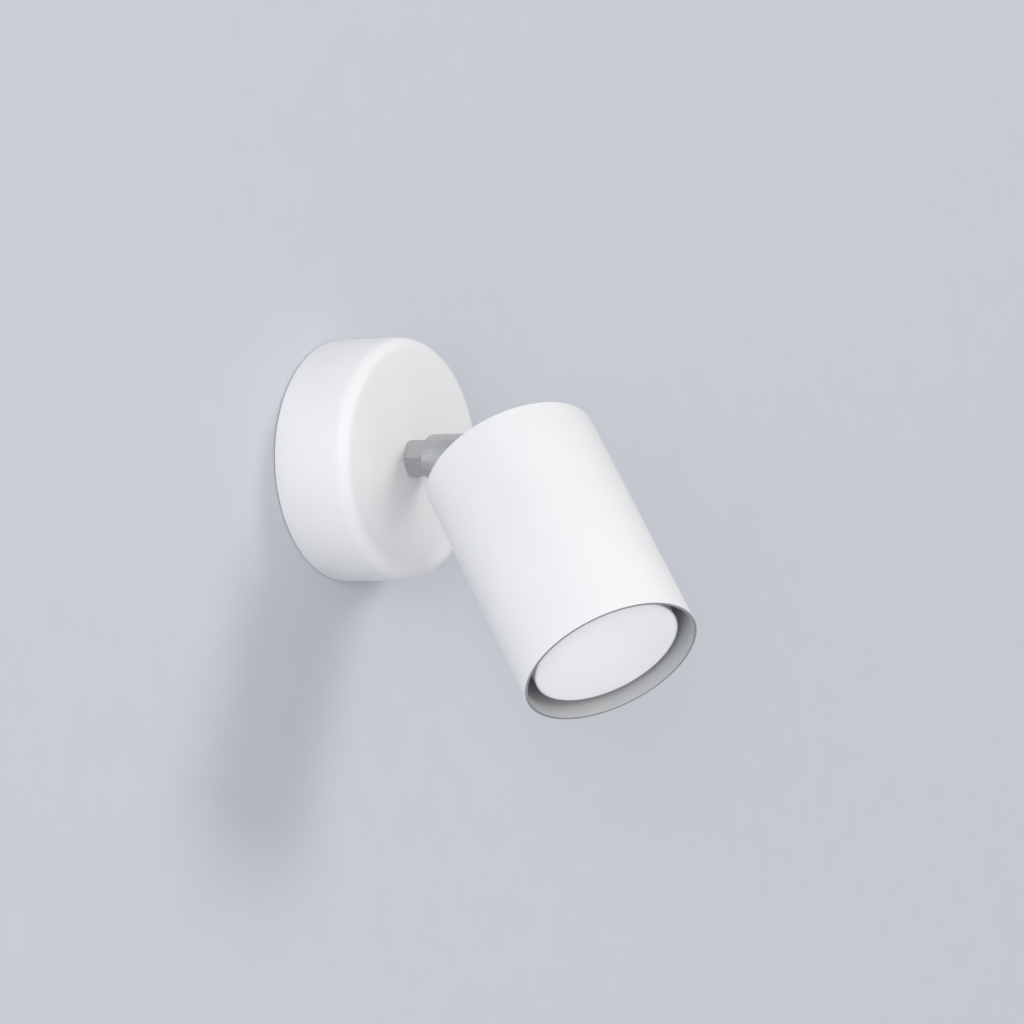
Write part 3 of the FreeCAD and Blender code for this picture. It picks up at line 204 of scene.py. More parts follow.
# %% Finish: one material
class Finish(Network):
    def __init__(self, name, **constants):
        self.material = bpy.data.materials.new(name)
        self.material.use_nodes = True
        super().__init__(self.material.node_tree)
        self.tree.nodes.clear()
        self.shader = self.tree.nodes.new("ShaderNodeBsdfPrincipled")
        self.output = self.tree.nodes.new("ShaderNodeOutputMaterial")
        self.tree.links.new(self.shader.outputs["BSDF"], self.output.inputs["Surface"])
        self.set(**constants)

    def set(self, **values):
        for socket, value in values.items():
            self.fill(self.shader.inputs[socket.replace("_", " ")], value)
        return self.material

    def place(self, matrix=Matrix.Identity(4), scale=(1, 1, 1)):
        """Object coordinates in a piece's own frame. A small scale draws a pattern out on that axis."""
        here = self.node("ShaderNodeTexCoord", {}, {}, "Object")
        shrink = tuple(1 / s for s in scale)
        return self.node("ShaderNodeMapping", {"vector_type": "TEXTURE"},
                         {"Vector": here, "Location": matrix.to_translation(),
                          "Rotation": matrix.to_euler(), "Scale": shrink})

    def noise(self, where, scale, detail=2.0, rough=0.5):
        """A cloudy value from 0 to 1. A large scale makes it fine."""
        sockets = {"Vector": where, "Scale": scale, "Detail": detail, "Roughness": rough}
        return self.node("ShaderNodeTexNoise", {}, sockets, "Fac")

    def blend(self, factor, low, high):
        """Colour that goes from low to high. Sockets 6 and 7 and output 2 are a Mix node's colours."""
        return self.node("ShaderNodeMix", {"data_type": "RGBA"}, {0: factor, 6: low, 7: high}, 2)

    def spread(self, signal, low, high, to_low=0.0, to_high=1.0):
        """The signal between low and high, stretched to a new range and held there."""
        sockets = {"Value": signal, "From Min": low, "From Max": high, "To Min": to_low, "To Max": to_high}
        return self.node("ShaderNodeMapRange", {}, sockets)

    def bump(self, height, depth, strength):
        """Small hills where the height is large, depth millimetres deep."""
        sockets = {"Height": height, "Distance": depth * MM, "Strength": strength}
        return self.node("ShaderNodeBump", {}, sockets, "Normal")


print("materials can be written as sums")

# %% [markdown]
# ## White enamel
#
# The canopy and the tube are sprayed with a matt white enamel. Sprayed paint is never quite flat: it
# dries with a fine orange peel, gathers a little dust, and its gloss varies slightly. A picture of
# paint could be used, but it would need unwrapping, so the bump has two sizes of gentle noise, and the
# colour and the roughness drift by a few percent.

# %% White enamel
def shaded(colour, share):
    """The same colour, darker."""
    return tuple(c * share for c in colour)


def enamel(name, colour, matt):
    coat = Finish(name, Specular_IOR_Level=0.4)
    here = coat.place()
    peel = coat.noise(here, scale=1100, detail=1)
    drift = coat.noise(here, scale=30, detail=3, rough=0.55)
    specks = coat.spread(coat.noise(here, scale=2600, detail=0), 0.77, 0.82)
    clean = coat.blend(coat.spread(drift, 0.35, 0.7), colour, shaded(colour, 0.97))
    gloss_drift = coat.spread(drift, 0.3, 0.7, matt - 0.04, matt + 0.05)
    return coat.set(Base_Color=coat.blend(specks * 0.3, clean, shaded(colour, 0.85)),
                    Roughness=gloss_drift + specks * 0.1,
                    Normal=coat.bump(peel + drift * 2.0, depth=0.01, strength=0.45))


white_enamel = enamel("white_enamel", (0.88, 0.88, 0.88), 0.5)
pan_enamel = enamel("pan_enamel", (0.82, 0.82, 0.825), 0.55)
# The tube's inner wall and its end edges get greys that are painted shade: the shade inside the tube and on
# its edges.
inner_wall_painted_shade = enamel("inner_wall_painted_shade", (0.50, 0.51, 0.515), 0.6)
end_edges_painted_shade = enamel("end_edges_painted_shade", (0.33, 0.335, 0.34), 0.5)
print("enamel:", white_enamel.name, pan_enamel.name, inner_wall_painted_shade.name, end_edges_painted_shade.name)

# %% [markdown]
# ## Satin nickel
#
# The hexagon, the barrel and the head's half of the knuckle are turned from brass and plated. A lathe
# leaves fine rings round the axis, which the plating keeps. An anisotropic shader could show them, but
# that is lost when materials are baked for export. So the bump is a noise that is drawn out across the
# axis until only its change along the axis is left. Handling leaves faint cloudy marks in the gloss.

# %% Satin nickel, turned round a piece's own axis
NICKEL_COLOUR = (0.56, 0.567, 0.576)
NICKEL_ROUGHNESS = 0.24
ROUND_THE_AXIS = (0.02, 0.02, 1.0)


def nickel(name, matrix):
    metal = Finish(name, Metallic=1.0)
    rings = metal.noise(metal.place(matrix, ROUND_THE_AXIS), scale=7000, rough=0.6)
    clouds = metal.noise(metal.place(), scale=160, detail=3, rough=0.6)
    handled = metal.spread(clouds, 0.3, 0.7, NICKEL_ROUGHNESS - 0.02, NICKEL_ROUGHNESS + 0.05)
    dull = shaded(NICKEL_COLOUR, 0.93)
    return metal.set(Base_Color=metal.blend(metal.spread(clouds, 0.35, 0.75), NICKEL_COLOUR, dull),
                     Roughness=handled + rings * 0.05,
                     Normal=metal.bump(rings, depth=0.002, strength=0.35))


nickel_stud = nickel("satin_nickel_stud", ON_WALL)
nickel_arm = nickel("satin_nickel_arm", ON_ARM)
nickel_head = nickel("satin_nickel_head", ON_HEAD)
print("nickel:", nickel_stud.name, nickel_arm.name, nickel_head.name)

# %% [markdown]
# ## Screws, strap, brass and rivets
#
# The small steel parts are bright zinc: a bluish grey with a faint yellow bloom in patches, and long
# rolling marks on the strap. Brass shows darker where it has been touched. They could have a function
# each, but they differ only in two colours, a roughness and the way their marks are drawn out, so one
# function makes all of them.

# %% Zinc, steel, brass and aluminium
ROLLED_UPWARDS = (1, 1, 0.04)


def bare_metal(name, bright, bloom, rough, marks=(1, 1, 1)):
    metal = Finish(name, Metallic=1.0)
    patches = metal.noise(metal.place(), scale=210, detail=4, rough=0.62)
    drawn = metal.noise(metal.place(scale=marks), scale=1800, rough=0.55)
    patchy = metal.spread(patches, 0.3, 0.75, rough - 0.05, rough + 0.12)
    return metal.set(Base_Color=metal.blend(metal.spread(patches, 0.38, 0.7), bright, bloom),
                     Roughness=patchy + drawn * 0.06,
                     Normal=metal.bump(drawn, depth=0.008, strength=0.3))


zinc_strip = bare_metal("zinc_strip", (0.62, 0.64, 0.68), (0.60, 0.58, 0.50), 0.34, ROLLED_UPWARDS)
screw_steel = bare_metal("screw_steel", (0.55, 0.56, 0.58), (0.45, 0.46, 0.50), 0.3)
brass = bare_metal("brass", (0.72, 0.53, 0.22), (0.50, 0.34, 0.13), 0.28)
rivet_aluminium = bare_metal("rivet_aluminium", (0.74, 0.75, 0.76), (0.60, 0.61, 0.62), 0.38)
pin_metal = bare_metal("pin_metal", (0.68, 0.67, 0.65), (0.46, 0.45, 0.43), 0.3)
print("bare metals:", zinc_strip.name, screw_steel.name, brass.name, rivet_aluminium.name, pin_metal.name)

# %% [markdown]
# ## Plastic, silicone, ceramic and fibre
#
# None of these is metal. The terminal block is a slightly translucent pale plastic with a fine spark
# texture, the leads are matt silicone, the holder is a glazed ceramic with small pits and the washers
# are a brown pressed fibre. All of them are a grain over a soft cloud of a darker shade, so they share
# a function with a grain size and a grain depth in millimetres.

# %% Matt materials
def matt_material(name, colour, darker, rough, grain, depth, translucent=0.0):
    stuff = Finish(name, Specular_IOR_Level=0.4, Subsurface_Weight=translucent,
                   Subsurface_Radius=(0.001, 0.001, 0.0008))
    here = stuff.place()
    cloud = stuff.noise(here, scale=grain * 0.12, detail=4, rough=0.6)
    fine = stuff.noise(here, scale=grain)
    mottle = stuff.spread(cloud * 0.6 + fine * 0.4, 0.35, 0.68)
    return stuff.set(Base_Color=stuff.blend(mottle, colour, darker),
                     Roughness=stuff.spread(fine, 0.3, 0.7, rough - 0.06, rough + 0.08),
                     Normal=stuff.bump(fine, depth, strength=0.5))


block_plastic = matt_material("block_plastic", (0.80, 0.79, 0.74), (0.70, 0.69, 0.63),
                              rough=0.42, grain=2400, depth=0.02, translucent=0.15)
brown_silicone = matt_material("brown_silicone", (0.17, 0.075, 0.035), (0.12, 0.05, 0.025),
                               rough=0.5, grain=1500, depth=0.02)
blue_silicone = matt_material("blue_silicone", (0.03, 0.12, 0.42), (0.02, 0.08, 0.3),
                              rough=0.5, grain=1500, depth=0.02)
fibre = matt_material("fibre", (0.30, 0.20, 0.12), (0.16, 0.10, 0.06),
                      rough=0.75, grain=3000, depth=0.04)
holder_ceramic = matt_material("holder_ceramic", (0.80, 0.78, 0.72), (0.68, 0.66, 0.60),
                               rough=0.35, grain=1300, depth=0.03, translucent=0.1)
print("matt:", block_plastic.name, brown_silicone.name, blue_silicone.name, fibre.name, holder_ceramic.name)

# %% [markdown]
# ## Two colours on one lead
#
# The earth leads are green with two yellow stripes that run along them. Stripes could be separate faces
# or a picture along the lead. But both earth leads bend only in the plane between left and right, so
# the distance from that plane says which side of the lead a point is on, and the stripes stay on its
# two sides along the whole length.

# %% Green and yellow silicone
STRIPE_FROM = 0.66 * MM
STRIPE_FULL = 0.72 * MM
GREEN = (0.03, 0.20, 0.05)
PALER_GREEN = (0.04, 0.27, 0.07)
YELLOW = (0.72, 0.60, 0.05)


def earth_silicone(name, matrix):
    stuff = Finish(name, Specular_IOR_Level=0.4)
    across = stuff.node("ShaderNodeSeparateXYZ", {}, {"Vector": stuff.place(matrix)}, "X")
    aside = stuff.node("ShaderNodeMath", {"operation": "ABSOLUTE"}, {0: across})
    fine = stuff.noise(stuff.place(), scale=1500)
    stripe = stuff.spread(aside + fine * (0.1 * MM), STRIPE_FROM, STRIPE_FULL)
    green = stuff.blend(fine, GREEN, PALER_GREEN)
    return stuff.set(Base_Color=stuff.blend(stripe, green, YELLOW),
                     Roughness=stuff.spread(fine, 0.3, 0.7, 0.44, 0.56),
                     Normal=stuff.bump(fine, depth=0.02, strength=0.5))


green_wall = earth_silicone("green_silicone_wall", ON_WALL)
green_head = earth_silicone("green_silicone_head", ON_HEAD)
print("earth leads:", green_wall.name, green_head.name)

# %% [markdown]
# ## The lamp's two plastics
#
# The lamp's front is a frosted plastic cover with a very fine grain. Unlit, it looks a plain light
# grey that is a little brighter than the shell round it, because it passes on the light that falls
# into the tube. Real transmission would need a lamp behind it and many samples, so a faint emission in
# the cover's own colour stands for that light. The shell is a moulded white plastic with a faint pearl.

# %% Frosted cover and moulded shell
def frosted(name, colour, darker, glow):
    cover = Finish(name, Emission_Strength=glow, Specular_IOR_Level=0.35)
    here = cover.place()
    grain = cover.noise(here, scale=4200, detail=1)
    haze = cover.noise(here, scale=90)
    tint = cover.blend(cover.spread(haze, 0.3, 0.7), colour, darker)
    return cover.set(Base_Color=tint, Emission_Color=tint,
                     Roughness=cover.spread(grain, 0.3, 0.7, 0.48, 0.62),
                     Normal=cover.bump(grain, depth=0.01, strength=0.5))


lamp_frosted = frosted("lamp_frosted", (0.84, 0.84, 0.84), (0.825, 0.825, 0.825), glow=0.26)
lamp_white = matt_material("lamp_white", (0.80, 0.80, 0.81), (0.74, 0.74, 0.75),
                           rough=0.34, grain=1900, depth=0.01)
print("lamp:", lamp_frosted.name, lamp_white.name)

# %% [markdown]
# ## From a bmesh to a finished piece
#
# New pieces start as a bmesh, which is a mesh in memory that Blender's modelling operators work on. At
# the end each becomes an object with smooth faces and sharp edges, which moves with one of the bodies
# and carries its material. Every piece needs the same lines, so they are written once.

# %% Finished pieces
SHARP_ANGLE = math.radians(38)


def mesh_from(shape, name):
    """Writes a bmesh out as a mesh, and frees it."""
    mesh = bpy.data.meshes.new(name)
    shape.to_mesh(mesh)
    shape.free()
    return mesh


def finished(name, mesh, body, material, sharp=SHARP_ANGLE):
    """Makes a mesh an object that rides on a body."""
    mesh.materials.append(material)
    mesh.shade_smooth()
    mesh.set_sharp_from_angle(angle=sharp)
    piece = add_object(name, mesh)
    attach(piece, body)
    return piece


# %% [markdown]
# ## Turned pieces
#
# Most of this light is turned, spun or drawn, so its pieces are a side profile swept round an axis. A
# cylinder with loop cuts would do for the straight ones, but a profile also gives the wall thickness
# and every rounding at once. `spun_shape` draws the profile as one closed loop, softens its corners
# with a vertex bevel, sweeps it round a full turn, and merges the seam.

# %% A closed profile swept round Z
ON_AXIS = 1e-9
SEAM_GAP = 1e-7


def spun_shape(profile, steps):
    """profile is a list of (radius, height, softening) in millimetres, round the solid's section."""
    shape = bmesh.new()
    ring = [shape.verts.new((radius * MM, 0, height * MM)) for radius, height, soft in profile]
    for start, end in zip(ring, ring[1:] + ring[:1]):
        if start.co.x > ON_AXIS or end.co.x > ON_AXIS:
            shape.edges.new((start, end))
    for vert, (radius, height, soft) in zip(ring, profile):
        if soft:
            bmesh.ops.bevel(shape, geom=[vert], offset=soft * MM, offset_type="OFFSET",
                            affect="VERTICES", segments=6 if soft > 1 else 3, profile=0.5, material=-1)
    bmesh.ops.spin(shape, geom=shape.verts[:] + shape.edges[:], cent=(0, 0, 0), axis=(0, 0, 1),
                   angle=2 * math.pi, steps=steps, use_merge=True)
    bmesh.ops.remove_doubles(shape, verts=shape.verts, dist=SEAM_GAP)
    bmesh.ops.recalc_face_normals(shape, faces=shape.faces)
    return shape


def spun(name, profile, matrix, body, material, replaced, steps):
    """A spun shape as a finished piece, which stands for the solid it replaces."""
    shape = spun_shape(profile, steps)
    bmesh.ops.transform(shape, matrix=matrix, verts=shape.verts)
    piece = finished(name, mesh_from(shape, name), body, material)
    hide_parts(replaced)
    print(f"{name}: {len(piece.data.polygons)} faces")
    return piece


print("a profile is a list of radius, height and softening")

# %% [markdown]
# ## The canopy
#
# The canopy is a cup drawn from sheet steel: a press pushes a disc into a die, which leaves one even
# wall and a rounded edge round the face. So the profile goes up the outside, across the face to the
# stud's hole, and back down the inside, with the inner rounding smaller by the thickness of the sheet.

# %% Canopy cup
SHEET = 1
CANOPY_RADIUS = 41
CANOPY_DEPTH = 28
CANOPY_ROUNDING = 4.5
STUD_HOLE_RADIUS = 5.2
CUT_EDGE = 0.25
inner_radius = CANOPY_RADIUS - SHEET
inner_depth = CANOPY_DEPTH - SHEET

canopy_cup = spun("canopy_cup", [(inner_radius, 0, CUT_EDGE),
                                 (CANOPY_RADIUS, 0, CUT_EDGE),
                                 (CANOPY_RADIUS, CANOPY_DEPTH, CANOPY_ROUNDING),
                                 (STUD_HOLE_RADIUS, CANOPY_DEPTH, 0),
                                 (STUD_HOLE_RADIUS, inner_depth, 0),
                                 (inner_radius, inner_depth, CANOPY_ROUNDING - SHEET)],
                  ON_WALL, "root", white_enamel, "canopy", steps=256)

# %% [markdown]
# Two grub screws hold the canopy to the strap, one above and one below, and each has a hole in the
# canopy's side. A hole across a curved wall can't come from the spun profile. Faces could be deleted
# and their edges pulled to a circle, but a Boolean with a round cutter is cleaner and exact.

# %% Two holes for the grub screws, above and below
GRUB_HOLE_RADIUS = 2.2
GRUB_FROM_WALL = 7
CUTTER_LENGTH = 4


def drill(piece, matrix, radius, length):
    """Takes a round cutter, which lies along the matrix's Z, out of the piece."""
    cutter_shape = bmesh.new()
    bmesh.ops.create_cone(cutter_shape, cap_ends=True, segments=48, radius1=radius * MM,
                          radius2=radius * MM, depth=length * MM, matrix=matrix)
    cutter = add_object("cutter", mesh_from(cutter_shape, "cutter"))
    cut = piece.modifiers.new("hole", "BOOLEAN")
    cut.object = cutter
    cut.solver = "EXACT"
    bpy.context.view_layer.update()
    solved = piece.evaluated_get(bpy.context.evaluated_depsgraph_get())
    drilled = bpy.data.meshes.new_from_object(solved)
    piece.modifiers.clear()
    piece.data = drilled
    bpy.data.meshes.remove(cutter.data)


for side in (1, -1):
    middle_of_sheet = side * (CANOPY_RADIUS - SHEET / 2)
    drill(canopy_cup, shift(0, -GRUB_FROM_WALL, middle_of_sheet), GRUB_HOLE_RADIUS, CUTTER_LENGTH)
canopy_cup.data.set_sharp_from_angle(angle=SHARP_ANGLE)
print(f"canopy_cup with its holes: {len(canopy_cup.data.polygons)} faces")

# %% [markdown]
# ## The head's tube
#
# The tube is a plain length of drawn steel tube, open at both ends, with its cut edges just broken. A
# rectangle swept round the head's axis gives both walls and both ends.

# %% The tube
TUBE_RADIUS = 30
TUBE_LENGTH = 85
TUBE_REAR = 2.5
tube_mouth = TUBE_REAR + TUBE_LENGTH
lining_radius = TUBE_RADIUS - SHEET

head_shell = spun("head_shell", [(lining_radius, TUBE_REAR, CUT_EDGE), (TUBE_RADIUS, TUBE_REAR, CUT_EDGE),
                                 (TUBE_RADIUS, tube_mouth, CUT_EDGE), (lining_radius, tube_mouth, CUT_EDGE)],
                  ON_HEAD, "head", white_enamel, "head_tube", steps=256)

# %% [markdown]
# The tube is sprayed white outside. Its inner wall gets a mid grey that is painted shade, the shade inside
# the tube, so the mouth shows as a darker ring round the lamp; the cut edges of its ends face away from
# the light and get a darker grey, also painted shade. A second object for the inner wall would lie too
# close to the first, so the same tube has three materials. The faces are told apart by their distance
# from the head's own axis and by the way they face.

# %% Painted shade on the tube's inner wall and end edges
OUTSIDE, LINING, ENDS = range(3)
FACES_AN_END = 0.5
head_shell.data.materials.append(inner_wall_painted_shade)
head_shell.data.materials.append(end_edges_painted_shade)
into_head = ON_HEAD.inverted()
for face in head_shell.data.polygons:
    middle = into_head @ face.center
    if abs(face.normal.dot(head_axis)) > FACES_AN_END:
        face.material_index = ENDS
    elif math.hypot(middle.x, middle.y) < (TUBE_RADIUS - SHEET / 2) * MM:
        face.material_index = LINING
for number, part in ((OUTSIDE, "outside"), (LINING, "lining"), (ENDS, "ends")):
    print(part, sum(face.material_index == number for face in head_shell.data.polygons), "faces")

# %% [markdown]
# ## Softened solids
#
# A bracket, nut or knuckle already has its right form in CAD, but every edge there is perfectly sharp,
# and a real edge always catches a thin line of light. The pieces could be modelled again, but copies of
# their solids are truer. The loose triangles are merged, the flat faces joined again, and a Bevel
# modifier breaks the edges.

# %% A copy of a solid with broken edges
LOOSE_GAP = 2e-6
FLAT_ANGLE = math.radians(0.6)
BROKEN_EDGE_ANGLE = math.radians(32)


def eased(node, body, material, width):
    """A copy of a node's solid, whose edges are broken by width millimetres."""
    shape = bmesh.new()
    shape.from_mesh(nodes[node].data)
    bmesh.ops.remove_doubles(shape, verts=shape.verts, dist=LOOSE_GAP)
    bmesh.ops.dissolve_limit(shape, angle_limit=FLAT_ANGLE, verts=shape.verts, edges=shape.edges,
                             use_dissolve_boundaries=False)
    name = f"{node}_piece"
    piece = finished(name, mesh_from(shape, name), body, material)
    edge = piece.modifiers.new("broken_edges", "BEVEL")
    edge.width = width * MM
    edge.segments = 2
    edge.limit_method = "ANGLE"
    edge.angle_limit = BROKEN_EDGE_ANGLE
    edge.harden_normals = True
    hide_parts(node)
    return piece


print("a solid's edges are broken where its faces turn by more than",
      round(math.degrees(BROKEN_EDGE_ANGLE)), "degrees")

# %% [markdown]
# A sharp corner of a turned or pressed piece is broken by a tenth or two of a millimetre, a moulded or
# riveted one by more, and a thin washer's by less. So each piece has its own width, beside the body it
# moves with and its material.

# %% The twenty-nine pieces that keep their solid's form
eased_pieces = [
    eased(node, body, material, width) for node, body, material, slot, width in (
        ("hex_stud", "root", nickel_stud, "satin_nickel", 0.12),
        ("swivel_barrel", "arm", nickel_arm, "satin_nickel", 0.2),
        ("head_knuckle", "head", nickel_head, "satin_nickel", 0.2),
        ("wall_bracket", "root", zinc_strip, "zinc_strip", 0.12),
        ("canopy_grub_screws", "root", screw_steel, "screw_steel", 0.08),
        ("terminal_block", "root", block_plastic, "block_plastic", 0.25),
        ("terminal_sleeves", "root", brass, "brass", 0.1),
        ("terminal_screws", "root", screw_steel, "screw_steel", 0.08),
        ("terminal_block_screw", "root", screw_steel, "screw_steel", 0.08),
        ("bracket_earth_screw", "root", screw_steel, "screw_steel", 0.1),
        ("stud_lock_washer", "root", screw_steel, "screw_steel", 0.08),
        ("stud_lock_nut", "root", screw_steel, "screw_steel", 0.2),
        ("swivel_stop_screw", "arm", screw_steel, "screw_steel", 0.06),
        ("swivel_washer", "arm", fibre, "fibre", 0.05),
        ("pivot_screw", "arm", screw_steel, "screw_steel", 0.12),
        ("pivot_nut", "arm", screw_steel, "screw_steel", 0.12),
        ("pivot_spring_washer", "arm", screw_steel, "screw_steel", 0.04),
        ("tilt_friction_ring", "arm", fibre, "fibre", 0.04),
        ("rear_pan", "head", pan_enamel, "pan_enamel", 0.15),
        ("knuckle_lock_washer", "head", screw_steel, "screw_steel", 0.08),
        ("knuckle_lock_nut", "head", screw_steel, "screw_steel", 0.2),
        ("holder_bracket", "head", zinc_strip, "zinc_strip", 0.12),
        ("bracket_rivets", "head", rivet_aluminium, "rivet_aluminium", 0.3),
        ("lamp_holder", "head", holder_ceramic, "holder_ceramic", 0.25),
        ("holder_contacts", "head", brass, "brass", 0.08),
        ("holder_screws", "head", screw_steel, "screw_steel", 0.1),
        ("head_earth_screw", "head", screw_steel, "screw_steel", 0.1),
        ("lamp_base", "lamp", lamp_white, "lamp_white", 0.5),
        ("lamp_pins", "lamp", pin_metal, "pin_metal", 0.25))]
print(len(eased_pieces), "softened solids are in place")

# %% [markdown]
# ## Round leads
#
# Three leads run side by side through the hollow stud, and three come out of the knuckle again behind
# the lamp holder. Insulated wire has no sharp bends. A chain of cylinders would show its joints, so
# each lead is a NURBS curve: it leaves its first point straight, swings inside the corners, and a round
# bevel gives it its thickness. Two points close together on a run keep the lead straight there. The
# curve is then made a mesh.

# %% A round lead along its points
LEAD_RADIUS = 1
LEAD_SHARP_ANGLE = math.radians(50)


def lead(name, points, matrix, body, material, replaced):
    """points are in millimetres, in the frame of the matrix."""
    curve = bpy.data.curves.new(name, "CURVE")
    curve.dimensions = "3D"
    curve.bevel_depth = LEAD_RADIUS * MM
    curve.bevel_resolution = 5
    curve.resolution_u = 14
    curve.use_fill_caps = True
    spline = curve.splines.new("NURBS")
    spline.points.add(len(points) - 1)
    for point, spot in zip(spline.points, points):
        point.co = (*(matrix @ (Vector(spot) * MM)), 1)
    spline.order_u = 3
    spline.use_endpoint_u = True
    drawn = add_object("drawn_lead", curve)
    mesh = bpy.data.meshes.new_from_object(drawn)
    bpy.data.curves.remove(curve)
    mesh.name = name
    mesh.materials.clear()
    piece = finished(name, mesh, body, material, sharp=LEAD_SHARP_ANGLE)
    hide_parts(replaced)
    print(f"{name}: {len(mesh.polygons)} faces")


print(f"a lead is {2 * LEAD_RADIUS} mm thick")

# %% [markdown]
# The live and the neutral lead are each other's mirror image: they leave the terminal block's two outer
# tunnels and meet in the bore. The earth lead starts at its own screw on the strap. In the head the
# live and the neutral part again to the holder's two sides, and the earth goes back to a screw on the
# pan. The points are given one by one, in millimetres, where such wires lie when the light is put
# together, because no formula says how a fitter bends them.

# %% The six leads
BORE_PLACE_RADIUS = 1.73


def in_bore(degrees, height):
    """One of the three places beside each other in the hollow bore."""
    angle = math.radians(degrees)
    return (BORE_PLACE_RADIUS * math.cos(angle), BORE_PLACE_RADIUS * math.sin(angle), height)


for name, side, degrees, material, slot in (("live", -1, 210, brown_silicone, "brown_silicone"),
                                            ("neutral", 1, 330, blue_silicone, "blue_silicone")):
    lead(f"{name}_wire", [(side * 8, -10.75, 5.2), (side * 8, -5.5, 5.2), (side * 7, -1.6, 5.6),
                          in_bore(degrees, 11.5), in_bore(degrees, 15.5), in_bore(degrees, 31.75)],
         ON_WALL, "root", material, f"{name}_lead")
    lead(f"head_{name}_wire", [in_bore(degrees, 11.5), in_bore(degrees, 18), in_bore(degrees, 20.4),
                               (side * 6.5, 0, 22.8), (side * 6.5, 0, 25), (side * 6.5, 0, 28.55)],
         ON_HEAD, "head", material, f"head_{name}_lead")
lead("earth_wire", [(0, 9, 2.9), (0, 5.5, 2.9), in_bore(90, 2.9), in_bore(90, 7), in_bore(90, 31.75)],
     ON_WALL, "root", green_wall, "earth_lead")
lead("head_earth_wire", [in_bore(90, 11.5), in_bore(90, 20.5), (0, 3.5, 22.7), (0, 7.6, 22.7),
                         (0, 9.7, 21), (0, 9.7, 15.8), (0, 11.4, 14.1), (0, 15.5, 14.1)],
     ON_HEAD, "head", green_head, "head_earth_lead")

# %% [markdown]
# ## Ring terminals
#
# The earth leads end in a ring terminal of tinned copper under a screw. It is stamped from one strip,
# but three simple shapes that run into each other look the same: the ring is spun, the tongue is a
# small block with broken edges, and the crimped sleeve is spun round the lead with a dent where the
# tool pressed it.

# %% Ring terminals
STRIP = 0.8
TONGUE = (2.6, 2.2, 0.76)
TONGUE_EDGE = 0.15
SLEEVE_BORE = 1.02
SLEEVE_RADIUS = 1.4
DENT_RADIUS = 1.25
BROKEN = 0.1


def ring_terminal(name, offset, seat, hole, matrix, body):
    """offset is the screw's distance from the axis, and seat the height of the metal under the ring."""
    rim = hole * 2
    tongue_middle = rim * 1.05
    sleeve_start = rim + 0.3
    shape = spun_shape([(hole, 0, 0), (rim, 0, 0), (rim, STRIP, BROKEN), (hole, STRIP, BROKEN)], 48)
    tongue_place = shift(0, -tongue_middle, STRIP / 2) @ Matrix.Diagonal((*(Vector(TONGUE) * MM), 1))
    tongue = bmesh.ops.create_cube(shape, size=1, matrix=tongue_place)
    tongue_edges = {edge for vert in tongue["verts"] for edge in vert.link_edges}
    bmesh.ops.bevel(shape, geom=list(tongue_edges), offset=TONGUE_EDGE * MM, affect="EDGES", segments=2,
                    profile=0.5, material=-1)
    bmesh.ops.transform(shape, matrix=shift(0, offset, seat), verts=shape.verts)

    sleeve = spun_shape([(SLEEVE_BORE, 0, BROKEN), (SLEEVE_RADIUS, 0, BROKEN), (SLEEVE_RADIUS, 2, BROKEN),
                         (DENT_RADIUS, 2.4, 0), (SLEEVE_RADIUS, 2.8, 0), (SLEEVE_RADIUS, rim, BROKEN),
                         (SLEEVE_BORE, rim, BROKEN)], 40)
    sleeve_place = shift(0, offset - sleeve_start, seat + SLEEVE_RADIUS)
    lay_down = Matrix.Rotation(math.radians(90), 4, "X")
    bmesh.ops.transform(sleeve, matrix=sleeve_place @ lay_down, verts=sleeve.verts)
    crimped = mesh_from(sleeve, "crimp")
    shape.from_mesh(crimped)
    bpy.data.meshes.remove(crimped)

    bmesh.ops.transform(shape, matrix=matrix, verts=shape.verts)
    return finished(name, mesh_from(shape, name), body, pin_metal)


wall_terminal = ring_terminal("earth_ring", 13.5, 1.5, 2.05, ON_WALL, "root")
head_terminal = ring_terminal("head_earth_ring", 18, 12.7, 1.55, ON_HEAD, "head")
print("ring terminals:", wall_terminal.name, head_terminal.name)

# %% [markdown]
# ## The reflector lamp
#
# A twist-lock lamp has a short straight collar at its rim, and from there its shell curves in to a
# neck. The frosted cover is a shallow disc that is set into the rim, so a thin ring of the shell shows
# round it. A ball cut in half would miss the collar and the neck, so both are spun from their profiles.

# %% Lamp shell and cover
LAMP_RADIUS = 25
LAMP_NECK_RADIUS = 12.5
LAMP_REAR = 46
RIM_HEIGHT = 83.6
COVER_SEAT = 81.8
COVER_RADIUS = 24.6
COVER_FACE = 83.8
COVER_CLEARANCE = 0.05
pocket_radius = COVER_RADIUS + COVER_CLEARANCE

spun("lamp_reflector", [
    (0, LAMP_REAR, 0), (LAMP_NECK_RADIUS, LAMP_REAR, 0.6), (LAMP_NECK_RADIUS, 55.2, 2.5), (19.5, 64, 6),
    (LAMP_RADIUS, 76.5, 3.5), (LAMP_RADIUS, RIM_HEIGHT, 0.2), (pocket_radius, RIM_HEIGHT, 0.1),
    (pocket_radius, COVER_SEAT, 0), (0, COVER_SEAT, 0)],
    ON_HEAD, "lamp", lamp_white, "lamp_shell", steps=192)
spun("lamp_front", [
    (0, COVER_SEAT, 0), (COVER_RADIUS, COVER_SEAT, 0), (COVER_RADIUS, COVER_FACE, 0.5), (0, COVER_FACE, 0)],
    ON_HEAD, "lamp", lamp_frosted, "lamp_cover", steps=192)

# %% [markdown]
# ## Wall and floor
#
# The light hangs on a plain pale wall, and a pale floor lies well below it. A plane each would do, but
# the wall is cut out behind the canopy, where nobody sees it from the room, so that the open back of
# the canopy is lit and can be looked at. One function makes a flat round plane with or without an
# opening, and turns it to face the room.

